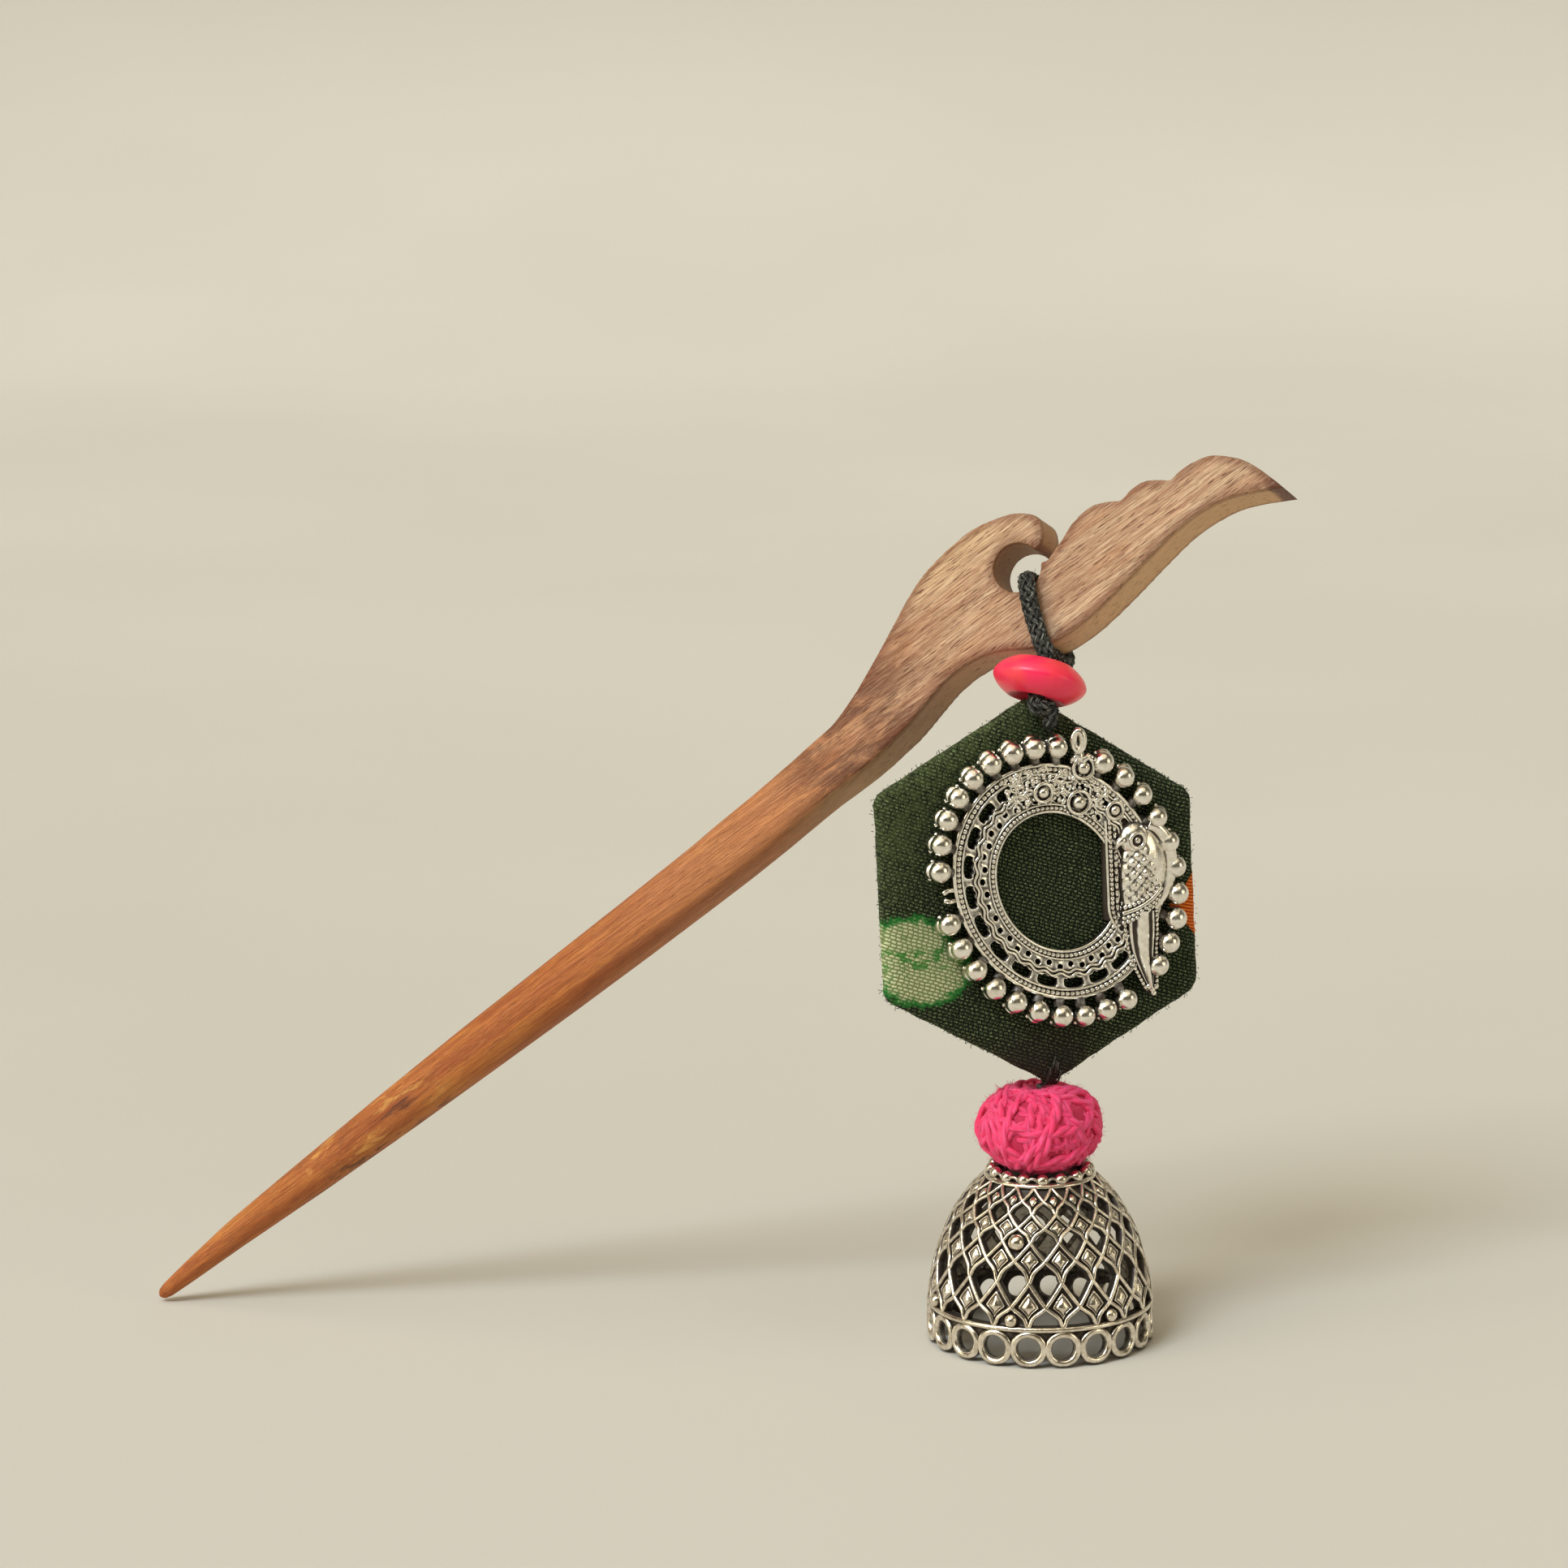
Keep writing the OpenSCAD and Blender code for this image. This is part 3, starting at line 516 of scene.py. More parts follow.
def green_twill():
    m = surface("green twill")
    p = m.within(PAD_FRAME)
    x, y, _ = m.split(p)
    bent = m.product(m.noise(p, .35, 2), .5)
    rag, fine = m.noise(p, 1.1, 4, .7), m.noise(p, 5.5, 3, .7)
    # Twill: short lit floats in rows that fall to the right, each row shifted against the next
    along = m.sum((x, .94), (y, -.342), bent)
    row_at = m.product(m.sum((x, .342), (y, .94), bent), 1 / TWILL_ROW)
    slide = m.math("FRACT", m.product(m.math("SINE", m.product(m.math("FLOOR", row_at), 12.9)), 43.7))
    in_float = m.math("FRACT", m.sum((along, 1 / TWILL_FLOAT), slide))
    lane = (m.math("FRACT", row_at), .02, .3, .66, .98)
    weave = m.product(lane, m.sum(.25, (m.step(in_float, .02, .16, .72, .98), .75)))
    # Cream patch at the lower left, with green edges and small green marks
    lobes = []
    for at_x, at_y, half_x, half_y in ((-18.3, -5.5, 5.2, 3.9), (-16.1, -8.7, 5.8, 4)):
        cx, cy = m.sum((x, 1 / half_x), -at_x / half_x), m.sum((y, 1 / half_y), -at_y / half_y)
        lobes.append(m.math("SQRT", m.sum((cx, cx), (cy, cy))))
    far = m.sum(m.math("SMOOTH_MIN", *lobes, .2), (rag, .7), -.35)
    mark = (m.noise(p, (.7, 1.1, 1.1), 3, .6, move=(1, 4, 0)), .46, .56)
    cream = m.layers((128, 142, 92), ((212, 216, 172), (weave, .2, .8)), ((96, 138, 72), (rag, .5, .66), .5),
                     ((52, 134, 48), mark, (m.math("ABSOLUTE", m.sum(y, 6.9)), 2, .8), .85))
    # Orange embroidery: a triangle that narrows from the right edge
    reach = m.sum((m.math("ABSOLUTE", m.sum(y, 3)), .95), (x, -1), 16.6, (rag, .8))
    orange = m.mix((190, 70, 8), (255, 138, 48), (m.math("SINE", m.sum((y, 15), (x, 4))), -.6, .7))
    colour = m.layers(
        (4, 12, 4), ((12, 24, 9), (rag, .35, .7)),
        # The floats' light colour is partly lighter thread and partly painted highlight
        (m.mix((76, 98, 54), (172, 188, 140), (fine, .45, .7)), (weave, .4, .9), (fine, .38, .6), .72),
        # Lighter towards the upper left, partly wear and partly painted light; darker, with a purple-brown
        # tint, at the foot
        ((92, 104, 62), (m.math("SUBTRACT", y, x), 12, 32), (rag, .3, .7), .6),
        ((34, 20, 28), (y, -14, -23), (m.math("ABSOLUTE", x), 9, 3), .7),
        ((36, 128, 50), (far, 1.18, .98), .9), (cream, (far, 1, .8)), (orange, (reach, .25, -.1)))
    m.set(Base_Color=colour, Roughness=.9, Normal=m.bump(m.sum(weave, (fine, .7)), .2, .9), Sheen_Weight=.1,
          Sheen_Roughness=.5, Sheen_Tint=(.5, .6, .4, 1), Specular_IOR_Level=.2)
    return m


def paper():
    m = surface("pale floor")
    p = m.add("TexCoord").outputs["Object"]
    # Painted shade: towards the top of the backdrop it is darker
    colour = m.layers((204, 199, 190), ((209, 204, 196), (m.noise(p, 3.5, 3), .3, .7)),
                      ((180, 175, 165), (m.split(p)[2], -.03, .2)))
    m.set(Base_Color=colour, Roughness=.75, Normal=m.bump(m.noise(p, 900, 3, .6), .05, .3),
          Specular_IOR_Level=.2)
    return m


SILVER = silver("oxidised silver", RING_FRAME, (.8, .75, .66), (.97, .94, .88), .22, .6).owner
DOME_SILVER = silver("dark oxidised silver", BELL_FRAME, (.64, .56, .45), (.93, .86, .75), .34, .76).owner
WOOD, BEAD, CORD, YARN, TWILL, PAPER = (
    make().owner for make in (wood, bead_paint, cord_yarn, pink_yarn, green_twill, paper))


# Camera, light and floor
VIEW_TURN, PITCH, TILT = deg(6.61), deg(11.003), deg(.6)
FOCAL_PIXELS, PHOTO_PIXELS, SENSOR = 6000, 1932, 36
HANG_POINT = Vector((67.5214, -.7553, 48.5348))


def add_camera():
    cam = bpy.data.cameras.new("photo view")
    cam.sensor_width, cam.lens = SENSOR, FOCAL_PIXELS / PHOTO_PIXELS * SENSOR
    cam.clip_start, cam.clip_end = .01, 60
    turn = Matrix.Rotation(VIEW_TURN, 4, "Z")
    # The fit placed the camera against a hanging point at (0, 5, 86.6)
    at = turn @ (Vector((-31.976, -591.473, 186.490)) - Vector((0, 5, 86.6))) + HANG_POINT
    scene.camera = linked("photo view", cam)
    scene.camera.matrix_world = (shifted(at) @ turn @ Matrix.Rotation(pi / 2 - PITCH, 4, "X")
                                 @ Matrix.Rotation(-TILT, 4, "Z"))


def add_lights():
    """A sun and a soft studio: bright above, dim at the horizon, with a soft box at each side."""
    sun = bpy.data.lights.new("key", "SUN")
    sun.energy, sun.angle, sun.color = 1.86, deg(24), (.79, .9, 1)
    key = linked("key", sun)
    key.location = (-.55, -.75, 1.05)
    key.rotation_euler = (-key.location).to_track_quat("-Z", "Y").to_euler()
    w = Nodes(bpy.data.worlds.new("studio"), "OutputWorld", "Background")
    way = w.add("TexCoord").outputs["Generated"]
    above, left, right = (w.toward(way, *spot) for spot in (
        ((-.15, -.25, 1), .72, .88), ((-.8, -.5, .35), .93, .97), ((.9, -.35, .3), .955, .985)))
    w.set(Color=(1, .9, .66, 1), Strength=w.sum(.14, above, (left, 3.6), (right, 2.0)))
    scene.world = w.owner


def add_stage():
    z, back, bow, top, half = FLOOR_Z * MM, 1.0, .9, 2.2, 14
    rows = [(-half, z), (back, z)]
    rows += [(back + bow * sin(deg(a)), z + bow * (1 - cos(deg(a)))) for a in range(6, 91, 6)]
    rows += [(back + bow, z + top)]
    s = Shape()
    s.skin([[(x, y, h) for x in (-half, half)] for y, h in rows], closed=False)
    mesh = s.mesh("floor", 1)
    mesh.shade_smooth()
    mesh.materials.append(PAPER)
    floor = linked("floor", mesh)
    floor.matrix_world = Matrix.Rotation(VIEW_TURN, 4, "Z")


# The wooden stick. SHAFT has shares of place, width, thickness and the middle's rise, and the
# section's squareness
SHAFT = [(0, .17, .17, .01, 2), (.012, .26, .26, .02, 2), (.045, .35, .36, .05, 2), (.12, .5, .51, .11, 2),
         (.24, .67, .69, .14, 2), (.36, .8, .82, .18, 2.1), (.48, .89, .91, .22, 2.2), (.6, .94, .96, .25, 2.4),
         (.72, .97, .98, .29, 2.7), (.83, .98, .99, .34, 3.2), (.92, .99, .99, .41, 4.5), (1, .99, .99, .5, 7)]
HEAD = [(.088, .015), (.151, .05), (.191, .075), (.24, .12), (.284, .158), (.322, .17), (.359, .162),
        (.391, .135), (.418, .09), (.446, .03), (.472, -.02), (.503, -.05), (.556, -.06), (.615, -.04),
        (.676, -.005), (.738, .035), (.8, .068), (.854, .068), (.903, .04), (.946, -.02), (1, -.12),
        (.991, -.015), (.979, .105), (.962, .21), (.929, .32), (.901, .358), (.866, .37), (.837, .355),
        (.825, .395), (.8, .45), (.774, .462), (.743, .44), (.718, .495), (.687, .53), (.646, .51), (.618, .47),
        (.571, .41), (.519, .48), (.575, .52), (.59, .57), (.6, .66), (.593, .72), (.569, .79), (.54, .83),
        (.491, .87), (.435, .865), (.372, .83), (.324, .77), (.266, .67), (.212, .575), (.156, .485),
        (.11, .43), (.062, .385)]
# The numbers of the head's sharp points, with the two ends
HEAD_CORNERS = {0, 21, 28, 32, 37, 38, 39, 54}


def prism(outline, low, high):
    s = Shape()
    a, b = s.skin([flat(outline, low), flat(outline, high)])
    s.faces += [a[::-1], b]
    return s


def changed(obj, *modifiers):
    """The mesh of an object after its modifiers, each given by its kind and settings."""
    for kind, settings in modifiers:
        modifier = obj.modifiers.new(kind, kind)
        for key, value in settings.items():
            setattr(modifier, key, value)
    return bpy.data.meshes.new_from_object(obj.evaluated_get(bpy.context.evaluated_depsgraph_get()))


def build_stick():
    shaft = Shape()
    rows = []
    places, *shares = zip(*SHAFT)
    for at in [0, .004, .012, .025] + [i / 60 for i in range(3, 61)] + [1 + 3 / SHAFT_L]:
        width, thick, rise, corner = (float(np.interp(at, places, row)) for row in shares)
        blunt = 1 if at else .45
        rows.append([Vector((at * SHAFT_L, rise * SHAFT_W + width * blunt * SHAFT_W / 2 * power(cos(t), corner),
                             thick * blunt * STICK_T / 2 * power(sin(t), corner))) for t in turns(48, .5)])
    rings = shaft.skin(rows)
    shaft.faces += [rings[0][::-1], rings[-1]]
    outline = flat([(SHAFT_L + x * HEAD_L, y * HEAD_H) for x, y in [(0, 0)] + HEAD + [(0, SHAFT_W / HEAD_H)]])
    shapes = (prism(curve(outline, 6, HEAD_CORNERS), -STICK_T / 2, STICK_T / 2),
              prism(circle(96, EYE_D / 2, *EYE), -9, 9), shaft)
    head, hole, body = (linked("rough", shape.mesh("rough", 1)) for shape in shapes)
    mesh = changed(head, ("BOOLEAN", {"operation": "DIFFERENCE", "object": hole, "solver": "EXACT"}),
                   ("BOOLEAN", {"operation": "UNION", "object": body, "solver": "EXACT"}),
                   ("REMESH", {"mode": "VOXEL", "voxel_size": .26}),
                   ("SMOOTH", {"factor": .5, "iterations": 4}))
    # The neck, where the shaft runs into the head, is sanded smooth
    sanded = linked("sanded", mesh)
    neck = sanded.vertex_groups.new(name="neck")
    start, end, fade = 97, 123, 9
    for v in mesh.vertices:
        weight = min(1, (v.co.x - start) / fade, (end - v.co.x) / fade)
        if weight > 0:
            neck.add([v.index], weight, "REPLACE")
    mesh = changed(sanded, ("SMOOTH", {"factor": .5, "iterations": 120, "vertex_group": "neck"}))
    for obj in (head, hole, body, sanded):
        bpy.data.objects.remove(obj)
    mesh.transform(Matrix.Scale(MM, 4))
    place("carved_stick", mesh, WOOD, "wood", STICK_FRAME, "stick")


# Cord and bead
def cord_route():
    """From the hexagon up through the bead, over the bar, through the eye and down behind into the bead."""
    off = CORD_T / 2 + GAP
    low = EYE[1] - EYE_D / 2 + off
    half, front = STICK_T / 2, STICK_T / 2 + off + .25
    pad = DROP + (PAD_T / 2 + off) * PAD_OUT
    (eye, _), (hang, foot) = EYE, HANG
    return [pad + (PAD_TOP - 3.4) * UP, pad + (PAD_TOP - 1.2) * UP, on_bead(.3, -off - .9, -BEAD_H / 2 - .2),
            on_bead(0, -off, 0), on_bead(0, -off - .5, BEAD_H / 2)] + [on_stick(*p) for p in (
                (hang + 1.7, foot - .7, front), (hang + 3, (foot + low) / 2, front), (eye + .2, low - 1, front),
                (eye + .3, low, half - .6), (eye + .3, low, .6 - half), (eye, low - 1, -front),
                (hang + 2.8, (foot + low) / 2, -front), (hang + 1.6, foot - .8, -front),
                (hang + 1.3, foot - off - .9, -half / 2))] + [
                    on_bead(.1, off, BEAD_H / 2 + .2), on_bead(0, off, 0)]


def braid(s, path):
    """Strands that run round the path both ways, half of them each way, each over one and under the next."""
    half, pitch, thread = 6, 8.5, .3
    frames, run = [], 0
    for i, p in enumerate(path):
        ahead = heading(path, i)
        side = (ALONG - ALONG.dot(ahead) * ahead).normalized()
        run += (p - path[i - 1]).length if i else 0
        frames.append((run, side * (CORD_W * .95 / 2 - thread), ahead.cross(side) * (CORD_T / 2 - thread)))
    for way in (1, -1):
        for k in range(half):
            line, ups, tones = [], [], []
            for p, (run, side, up) in zip(path, frames):
                a = TAU * (way * run / pitch + (k + (.5 if way < 0 else 0)) / half)
                over = way * sin(TAU * half * run / pitch)
                # The braid is thinner where it starts, on the hexagon
                out = min(1, .7 + .1 * run) * (cos(a) * side + sin(a) * up)
                ups.append(out.normalized())
                line.append(p + out + ups[-1] * .15 * over)
                # The tone is high where a strand lies over the others: the painted glints keep to these raised
                # parts
                tones.append(.5 + .5 * over)
            s.tube(line, thread, 6, up=ups, squash=.7, seed=way * 3 + k * 1.7, tone=lambda i: tones[i])


def build_cord():
    path = respace(curve(cord_route(), 12), .2)
    s = Shape()
    braid(s, path)
    s.tube(respace(path, .9)[1:], .6, 8, tone=0)
    # Loose hairs: the first half all along the braid, the others where its end is sewn down
    rng = random.Random(4)
    hairs = 520
    for k in range(hairs):
        sewn = k >= hairs / 2
        i = rng.randrange(0, 12) if sewn else rng.randrange(4, len(path) - 4)
        d = gauss(rng, 1, 1, 1).normalized()
        a = path[i] + d * (.6 if sewn else .95)
        b = a + d * rng.uniform(.15, .5) + gauss(rng, .2, .2, .2)
        if sewn:
            b = a + Vector((rng.gauss(0, .5), rng.uniform(-.35, .1), rng.uniform(-.9, .1)))
        mid = (a + b) / 2 + Vector((rng.gauss(0, .1), 0, rng.gauss(0, .1)))
        s.tube([a, mid, b], .03, 3, caps=False, tone=.6)
    s.make("cord_braid", CORD, "cord", node="cord_loop")


def build_bead():
    s = Shape()
    bore, lip, edge, steps = CORD_W + GAP, .4 * CORD_W, 1.7, 40
    mouth = bore + lip
    rim = acos((2 * mouth / BEAD_D) ** (edge / 2))
    top = [(BEAD_D / 2 * power(cos(t), edge), BEAD_H / 2 * power(sin(t), edge))
           for t in [rim * (1 - i / steps) for i in range(steps + 1)]]
    z = top[0][1]
    profile = [(bore, 0), (bore, z - lip - .2), (bore + .06, z - lip)]
    profile += [(bore + lip * f, z - lip * (1 - f) - .1 * sin(pi * f)) for f in (.3, .6, .85)]
    profile += [(mouth - .02, z - .03)] + top[1:]
    profile += [(r, -h) for r, h in profile[-2:0:-1]]
    s.skin([[polar(r * (1 + .006 * sin(2 * a + 1) + .004 * sin(5 * a)), a, h) for r, h in profile]
            for a in turns(112)], loop=True)
    s.make("coral_bead", BEAD, "bead", BEAD_FRAME, "saucer_bead")


# The fabric hexagon
CORNERS = [(.94, .455), (-.06, 1), (-1.03, .55), (-.97, -.49), (.06, -1), (1, -.57)]
# Worn places on its edge: x, y and reach
WORN = [(-15, 17, 3.0), (-21, 11, 2.5), (-20.5, -11, 2.2), (-11, -18, 2.0), (10, -17.5, 1.6)]


def pad_outline():
    per_corner, per_edge, radius = 7, 30, 2.4
    corners = flat([(x * PAD_W / 2, y * PAD_H / 2) for x, y in CORNERS])
    arcs = []
    for i, q in enumerate(corners):
        u, v = (corners[i - 1] - q).normalized(), (corners[(i + 1) % 6] - q).normalized()
        mid = (u + v).normalized()
        half = acos(u.dot(v)) / 2
        centre = q + mid * radius / sin(half)
        sweep = [(pi / 2 - half) * (2 * k / (per_corner - 1) - 1) for k in range(per_corner)]
        arcs.append([centre + radius * (Matrix.Rotation(a, 3, "Z") @ -mid) for a in sweep])
    out = []
    for arc, after in zip(arcs, arcs[1:] + arcs[:1]):
        out += arc + [arc[-1].lerp(after[0], (k + 1) / (per_edge + 1)) for k in range(per_edge)]
    return out


def fray(outline):
    """Short frayed threads along the edges, in clumps at the worn places."""
    rng = random.Random(8)
    s = Shape()
    n, threads = len(outline), 700
    for _ in range(threads):
        i = rng.randrange(n)
        p = outline[i].lerp(outline[(i + 1) % n], rng.random())
        out = p.normalized()
        z = rng.uniform(-.3, .34) * PAD_T
        near = any((p - Vector((x, y, 0))).length < reach for x, y, reach in WORN)
        length = rng.uniform(.03, .12) * (3.0 if near and rng.random() < .6 else 1)
        lean = gauss(rng, .8, .8, .5)
        a = p + z * UP - out * .12
        b = a + (out + lean * .7).normalized() * (length + .12)
        s.tube([a, b, b + (out * .4 + lean * 1.4).normalized() * length * .8], .045, 3, caps=False)
    s.make("hexagon_fray", TWILL, "fabric", PAD_FRAME)


def waves(p, scale, z):
    return noise.noise(Vector((p.x * scale, p.y * scale, z)))


def build_pad():
    s = Shape()
    outline = pad_outline()
    # From the middle of the front, over the folded edge, to the middle of the back: share and depth
    profile = [(f, .5 + .02 * (1 - f)) for f in (.04, .1, .17, .24, .31, .38, .45, .52, .59, .66, .72)]
    profile += [(.77, .497), (.81, .49), (.85, .478), (.885, .462), (.915, .443), (.94, .415), (.96, .375),
                (.975, .325), (.987, .26), (.996, .18), (1, .09)]
    profile += [(1, 0)] + [(f, -d) for f, d in reversed(profile)]
    rows = []
    for f, d in profile:
        row = []
        for i, p in enumerate(outline):
            q = p * f * (1 + .007 * waves(p, .35, 2) * f)
            pucker = .10 * waves(q, .22, 5 + d) + .05 * waves(q, .8, d) - .06
            fold = .06 * max(0, (f - .9) / .1) * sin(i * 1.9)
            row.append(Vector((q.x, q.y, d * PAD_T + pucker * copysign(1, d) + fold)))
        rows.append(row)
    rings = s.skin(rows[::-1])
    s.fan(rings[0][::-1], -.5 * PAD_T * UP)
    s.fan(rings[-1], .5 * PAD_T * UP)
    pad = s.make("padded_hexagon", TWILL, "fabric", PAD_FRAME, "fabric_hexagon")
    fray(outline)


# The bell. Heights of the lattice's levels, as shares of LATTICE_H
LEVELS = [0, .155, .34, .503, .635, .736, .83, .916, 1]
CELLS, ARCH = 20, .11
# The dome is a part of an ellipsoid whose middle lies this far under the rim
SUNK = 2.7
DOME_B = (LATTICE_H + SUNK) / sqrt(1 - (CROWN_D / BELL_D) ** 2)
# The section of a wire: sideways, outwards and tone
WIRE = [(-.31, -.95, .5), (-.31, -.2, .12), (-.25, .06, .6), (-.1, .2, 1), (.1, .2, 1), (.25, .06, .6),
        (.31, -.2, .12), (.31, -.95, .5)]
# Rings of a closed cell, from its wires inwards: share of the cell, lift, roundness, tone
FACET = [(.94, -.25, .05, .3), (.84, -.44, .1, 0), (.7, -.48, .15, 0), (.66, -.2, .2, .55),
         (.61, -.06, .22, 1), (.54, -.08, .22, .9), (.5, -.2, .22, .12), (.45, -.16, .25, .5),
         (.38, .02, .3, .95), (.12, .12, .3, 1)]
SEAT = [(.94, -.25, .05, .3), (.8, -.46, .1, 0), (.3, -.5, .5, 0)]
DOT = [(.94, -.25, .05, .3), (.82, -.42, .3, 0), (.62, -.44, .9, 0), (.56, -.15, .95, .7), (.44, .1, .95, 1),
       (.2, .22, .95, 1)]
# Rows of closed cells: row, kind, cells from one to the next, radius of the ball in each
CELL_ROWS = ((0, SEAT, 3, .86), (1, FACET, 1, 0), (3, FACET, 1, 0), (4, SEAT, 6, 1.08), (5, FACET, 1, 0),
             (7, DOT, 1, 0), (8, SEAT, 1, 0))


def dome_r(z):
    return BELL_D / 2 * sqrt(1 - ((z + SUNK) / DOME_B) ** 2)


def on_bell(place, level, lift):
    """A point over the dome. Between an even level and the next one the wires bow out into arches."""
    row = floor(level + 1e-6)
    if row < 8 and row % 2 == 0:
        place += ARCH * sin(TAU * (place - round(place))) * sin(pi * (level - row))
    z = LATTICE_H * float(np.interp(level, range(9), LEVELS))
    r = dome_r(z)
    slope = (BELL_D / 2) ** 2 * (z + SUNK) / DOME_B ** 2 / r
    length = sqrt(1 + slope * slope)
    return polar(r + lift / length, TAU * place / CELLS, z + lift * slope / length * .6)


def bell_out(place, level):
    return (on_bell(place, level, 1) - on_bell(place, level, 0)).normalized()


def bell_wire(s, start, way):
    """A wire of the lattice, from the rim to the crown."""
    places = [(start + way * i / 16, i / 8) for i in range(65)]
    pts = [on_bell(*place, 0) for place in places]
    rows = []
    for i, (p, place) in enumerate(zip(pts, places)):
        out = bell_out(*place)
        side = heading(pts, i).cross(out).normalized() * (1 - .22 * place[1] / 8)
        rows.append([p + side * x + out * y for x, y, _ in WIRE])
    s.skin(rows[::-1], tones(WIRE))


def cell_corners(k, j):
    """The corners of cell j in row k, each a place round the bell and a level. The end rows have half cells."""
    m = j + (k % 2) / 2
    return [c for c in ((m, k - 1), (m + .5, k), (m, k + 1), (m - .5, k)) if 0 <= c[1] <= 8]


def cell_ring(corners, mid, share, lift, roundness):
    edge = [(a[0] + (b[0] - a[0]) * k / 6 - mid[0], a[1] + (b[1] - a[1]) * k / 6 - mid[1])
            for a, b in zip(corners, corners[1:] + corners[:1]) for k in range(6)]
    far = [hypot(2 * x, y) for x, y in edge]
    mean = sum(far) / len(far) * .92
    scales = [share * (1 - roundness + roundness * mean / r) for r in far]
    return [on_bell(mid[0] + x * f, mid[1] + y * f, lift) for (x, y), f in zip(edge, scales)]


def closed_cell(s, corners, kind, ball):
    mid = [sum(c[i] for c in corners) / len(corners) for i in (0, 1)]
    rings = [s.ring(cell_ring(corners, mid, *shape), tone) for *shape, tone in kind]
    s.loft(rings)
    s.fan(rings[-1], on_bell(*mid, kind[-1][1] + .03), kind[-1][3])
    s.fan(s.ring(cell_ring(corners, mid, .95, -.9, 0), .75)[::-1], on_bell(*mid, -.9), .75)
    if ball:
        s.ball(on_bell(*mid, -.1), ball, 10, 18, axis=bell_out(*mid), low=.15)


def hoop(s, radius, height, section, steps=120):
    """A turned ring. Each point of the section has a distance outwards, a height and a tone."""
    rows = [[polar(radius + x, a, height + y) for x, y, _ in section] for a in turns(steps)]
    s.skin(rows, tones(section), loop=True)


def build_bell():
    s = Shape()
    for j in range(CELLS):
        for way in (1, -1):
            bell_wire(s, j + .5, way)
    for k, kind, every, ball in CELL_ROWS:
        for j in range(2 % every, CELLS, every):
            closed_cell(s, cell_corners(k, j), kind, ball)
    # Rim wire and crown wire, each a half-round bead with a dark line on the side of the lattice
    hoop(s, dome_r(0), 0, [(-1, .1, .4), (-.25, .12, 0), (.02, .1, .25), (.2, 0, .9), (.3, -.2, 1),
                           (.26, -.42, .9), (.05, -.6, .35), (-1, -.62, .4)])
    hoop(s, dome_r(LATTICE_H), LATTICE_H, [(-.95, .4, .2), (-.3, .46, .7), (-.05, .4, 1), (.14, .22, 1),
                                           (.16, .02, .8), (.02, -.16, .2), (-.95, -.2, .3)])
    # Circles under the rim, wrapped on its cylinder. Their section: radius, lift and tone
    outer = 1.1 * (BELL_D - 1) / 2 * sin(pi / CELLS)
    inner = outer - .9
    section = [(inner, -1.05, .5), (inner - .03, -.6, .4), (inner + .01, -.2, .6), (inner + .14, .05, 1),
               (inner + .45, .14, 1), (inner + .74, .05, 1), (outer, -.2, .5), (outer, -1.05, .1)]
    for c, a in enumerate(turns(CELLS)):
        middle = a + pi / CELLS
        s.skin([[polar(BELL_D / 2 + lift, middle + r * cos(t) / (BELL_D / 2 - .4), r * sin(t) - .4 - outer)
                 for r, lift, _ in section] for t in turns(40)], tones(section), loop=True)
        # The web between two circles, dark and set back
        web = ((0, -2.5), (-1.3, -.5), (1.3, -.5))
        front, rear = (s.ring([polar(BELL_D / 2 - depth, a + x / 14, z) for x, z in web], tone)
                       for depth, tone in ((.3, .1), (.95, .4)))
        s.faces += [front[::-1], rear]
        s.loft([front, rear])
    # Crown: a ring of balls inside the wire, small loops between them, and the plate
    crown_r = dome_r(LATTICE_H) - .85
    for a in turns(16):
        s.ball(polar(crown_r, a, LATTICE_H + .72), .84, 10, 16, low=.1)
        b = a + TAU / 32
        s.tube([polar(crown_r + .35, b, LATTICE_H + .5 + .55 * sin(t)) + polar(.62 * cos(t), b + pi / 2)
                for t in [pi * q / 10 for q in range(11)]], .2, 7, tone=.6)
    hoop(s, 0, LATTICE_H - .12, [(.62, 0, .3), (1.4, .02, .3), (4.6, .08, .2), (crown_r + .3, .2, .1),
                                 (crown_r + .4, -.4, .3), (.62, -.42, .3)], 72)
    s.make("silver_bell", DOME_SILVER, "silver", BELL_FRAME, "bell")


# The ring charm
RING_LONG, RING_SHORT, RING_TURN = 36.3, 30.0, deg(124.8)
# The turn of the first slot, the slots, their pitch, both in degrees, and the inner holes
FIRST, SLOTS, SLOT_PITCH, HOLES = -4.3, 21, 17.14, 42


def oval(t, share, z=0):
    """A point of an ellipse like the ring's, at t degrees and with a share of its size."""
    x, y = share * RING_LONG / 2 * cos(deg(t)), share * RING_SHORT / 2 * sin(deg(t))
    c, s = cos(RING_TURN), sin(RING_TURN)
    return Vector((x * c - y * s, x * s + y * c, z))


def ovals(share, z, n=240):
    return [oval(360 * i / n, share, z) for i in range(n)]


def pierced(s, cell, hole, squareness, bite, top, n):
    """A cell of the ring's band with its hole, each given by its middle's turn and share and its half sizes."""
    pairs = []
    for a in turns(n):
        c, d = cos(a), sin(a)
        far = max(abs(c), abs(d))
        x, y = power(c, squareness), power(d, squareness)
        if y < 0:
            y *= 1 - bite * (1 + cos(TAU * 1.5 * x)) / 2
        pairs.append((cell[0] + cell[2] * c / far, cell[1] + cell[3] * d / far,
                      hole[0] + hole[2] * x, hole[1] + hole[3] * y))
    rows = [(0, top - .12, .35), (.55, top - .12, .5), (.8, top + .02, .9), (.93, top, 1), (1, top - .14, .5),
            (1, .1, 0), (0, .1, .1)]
    s.loft([s.ring([oval(t + (u - t) * f, a + (b - a) * f, z) for t, a, u, b in pairs], tone)
            for f, z, tone in rows])


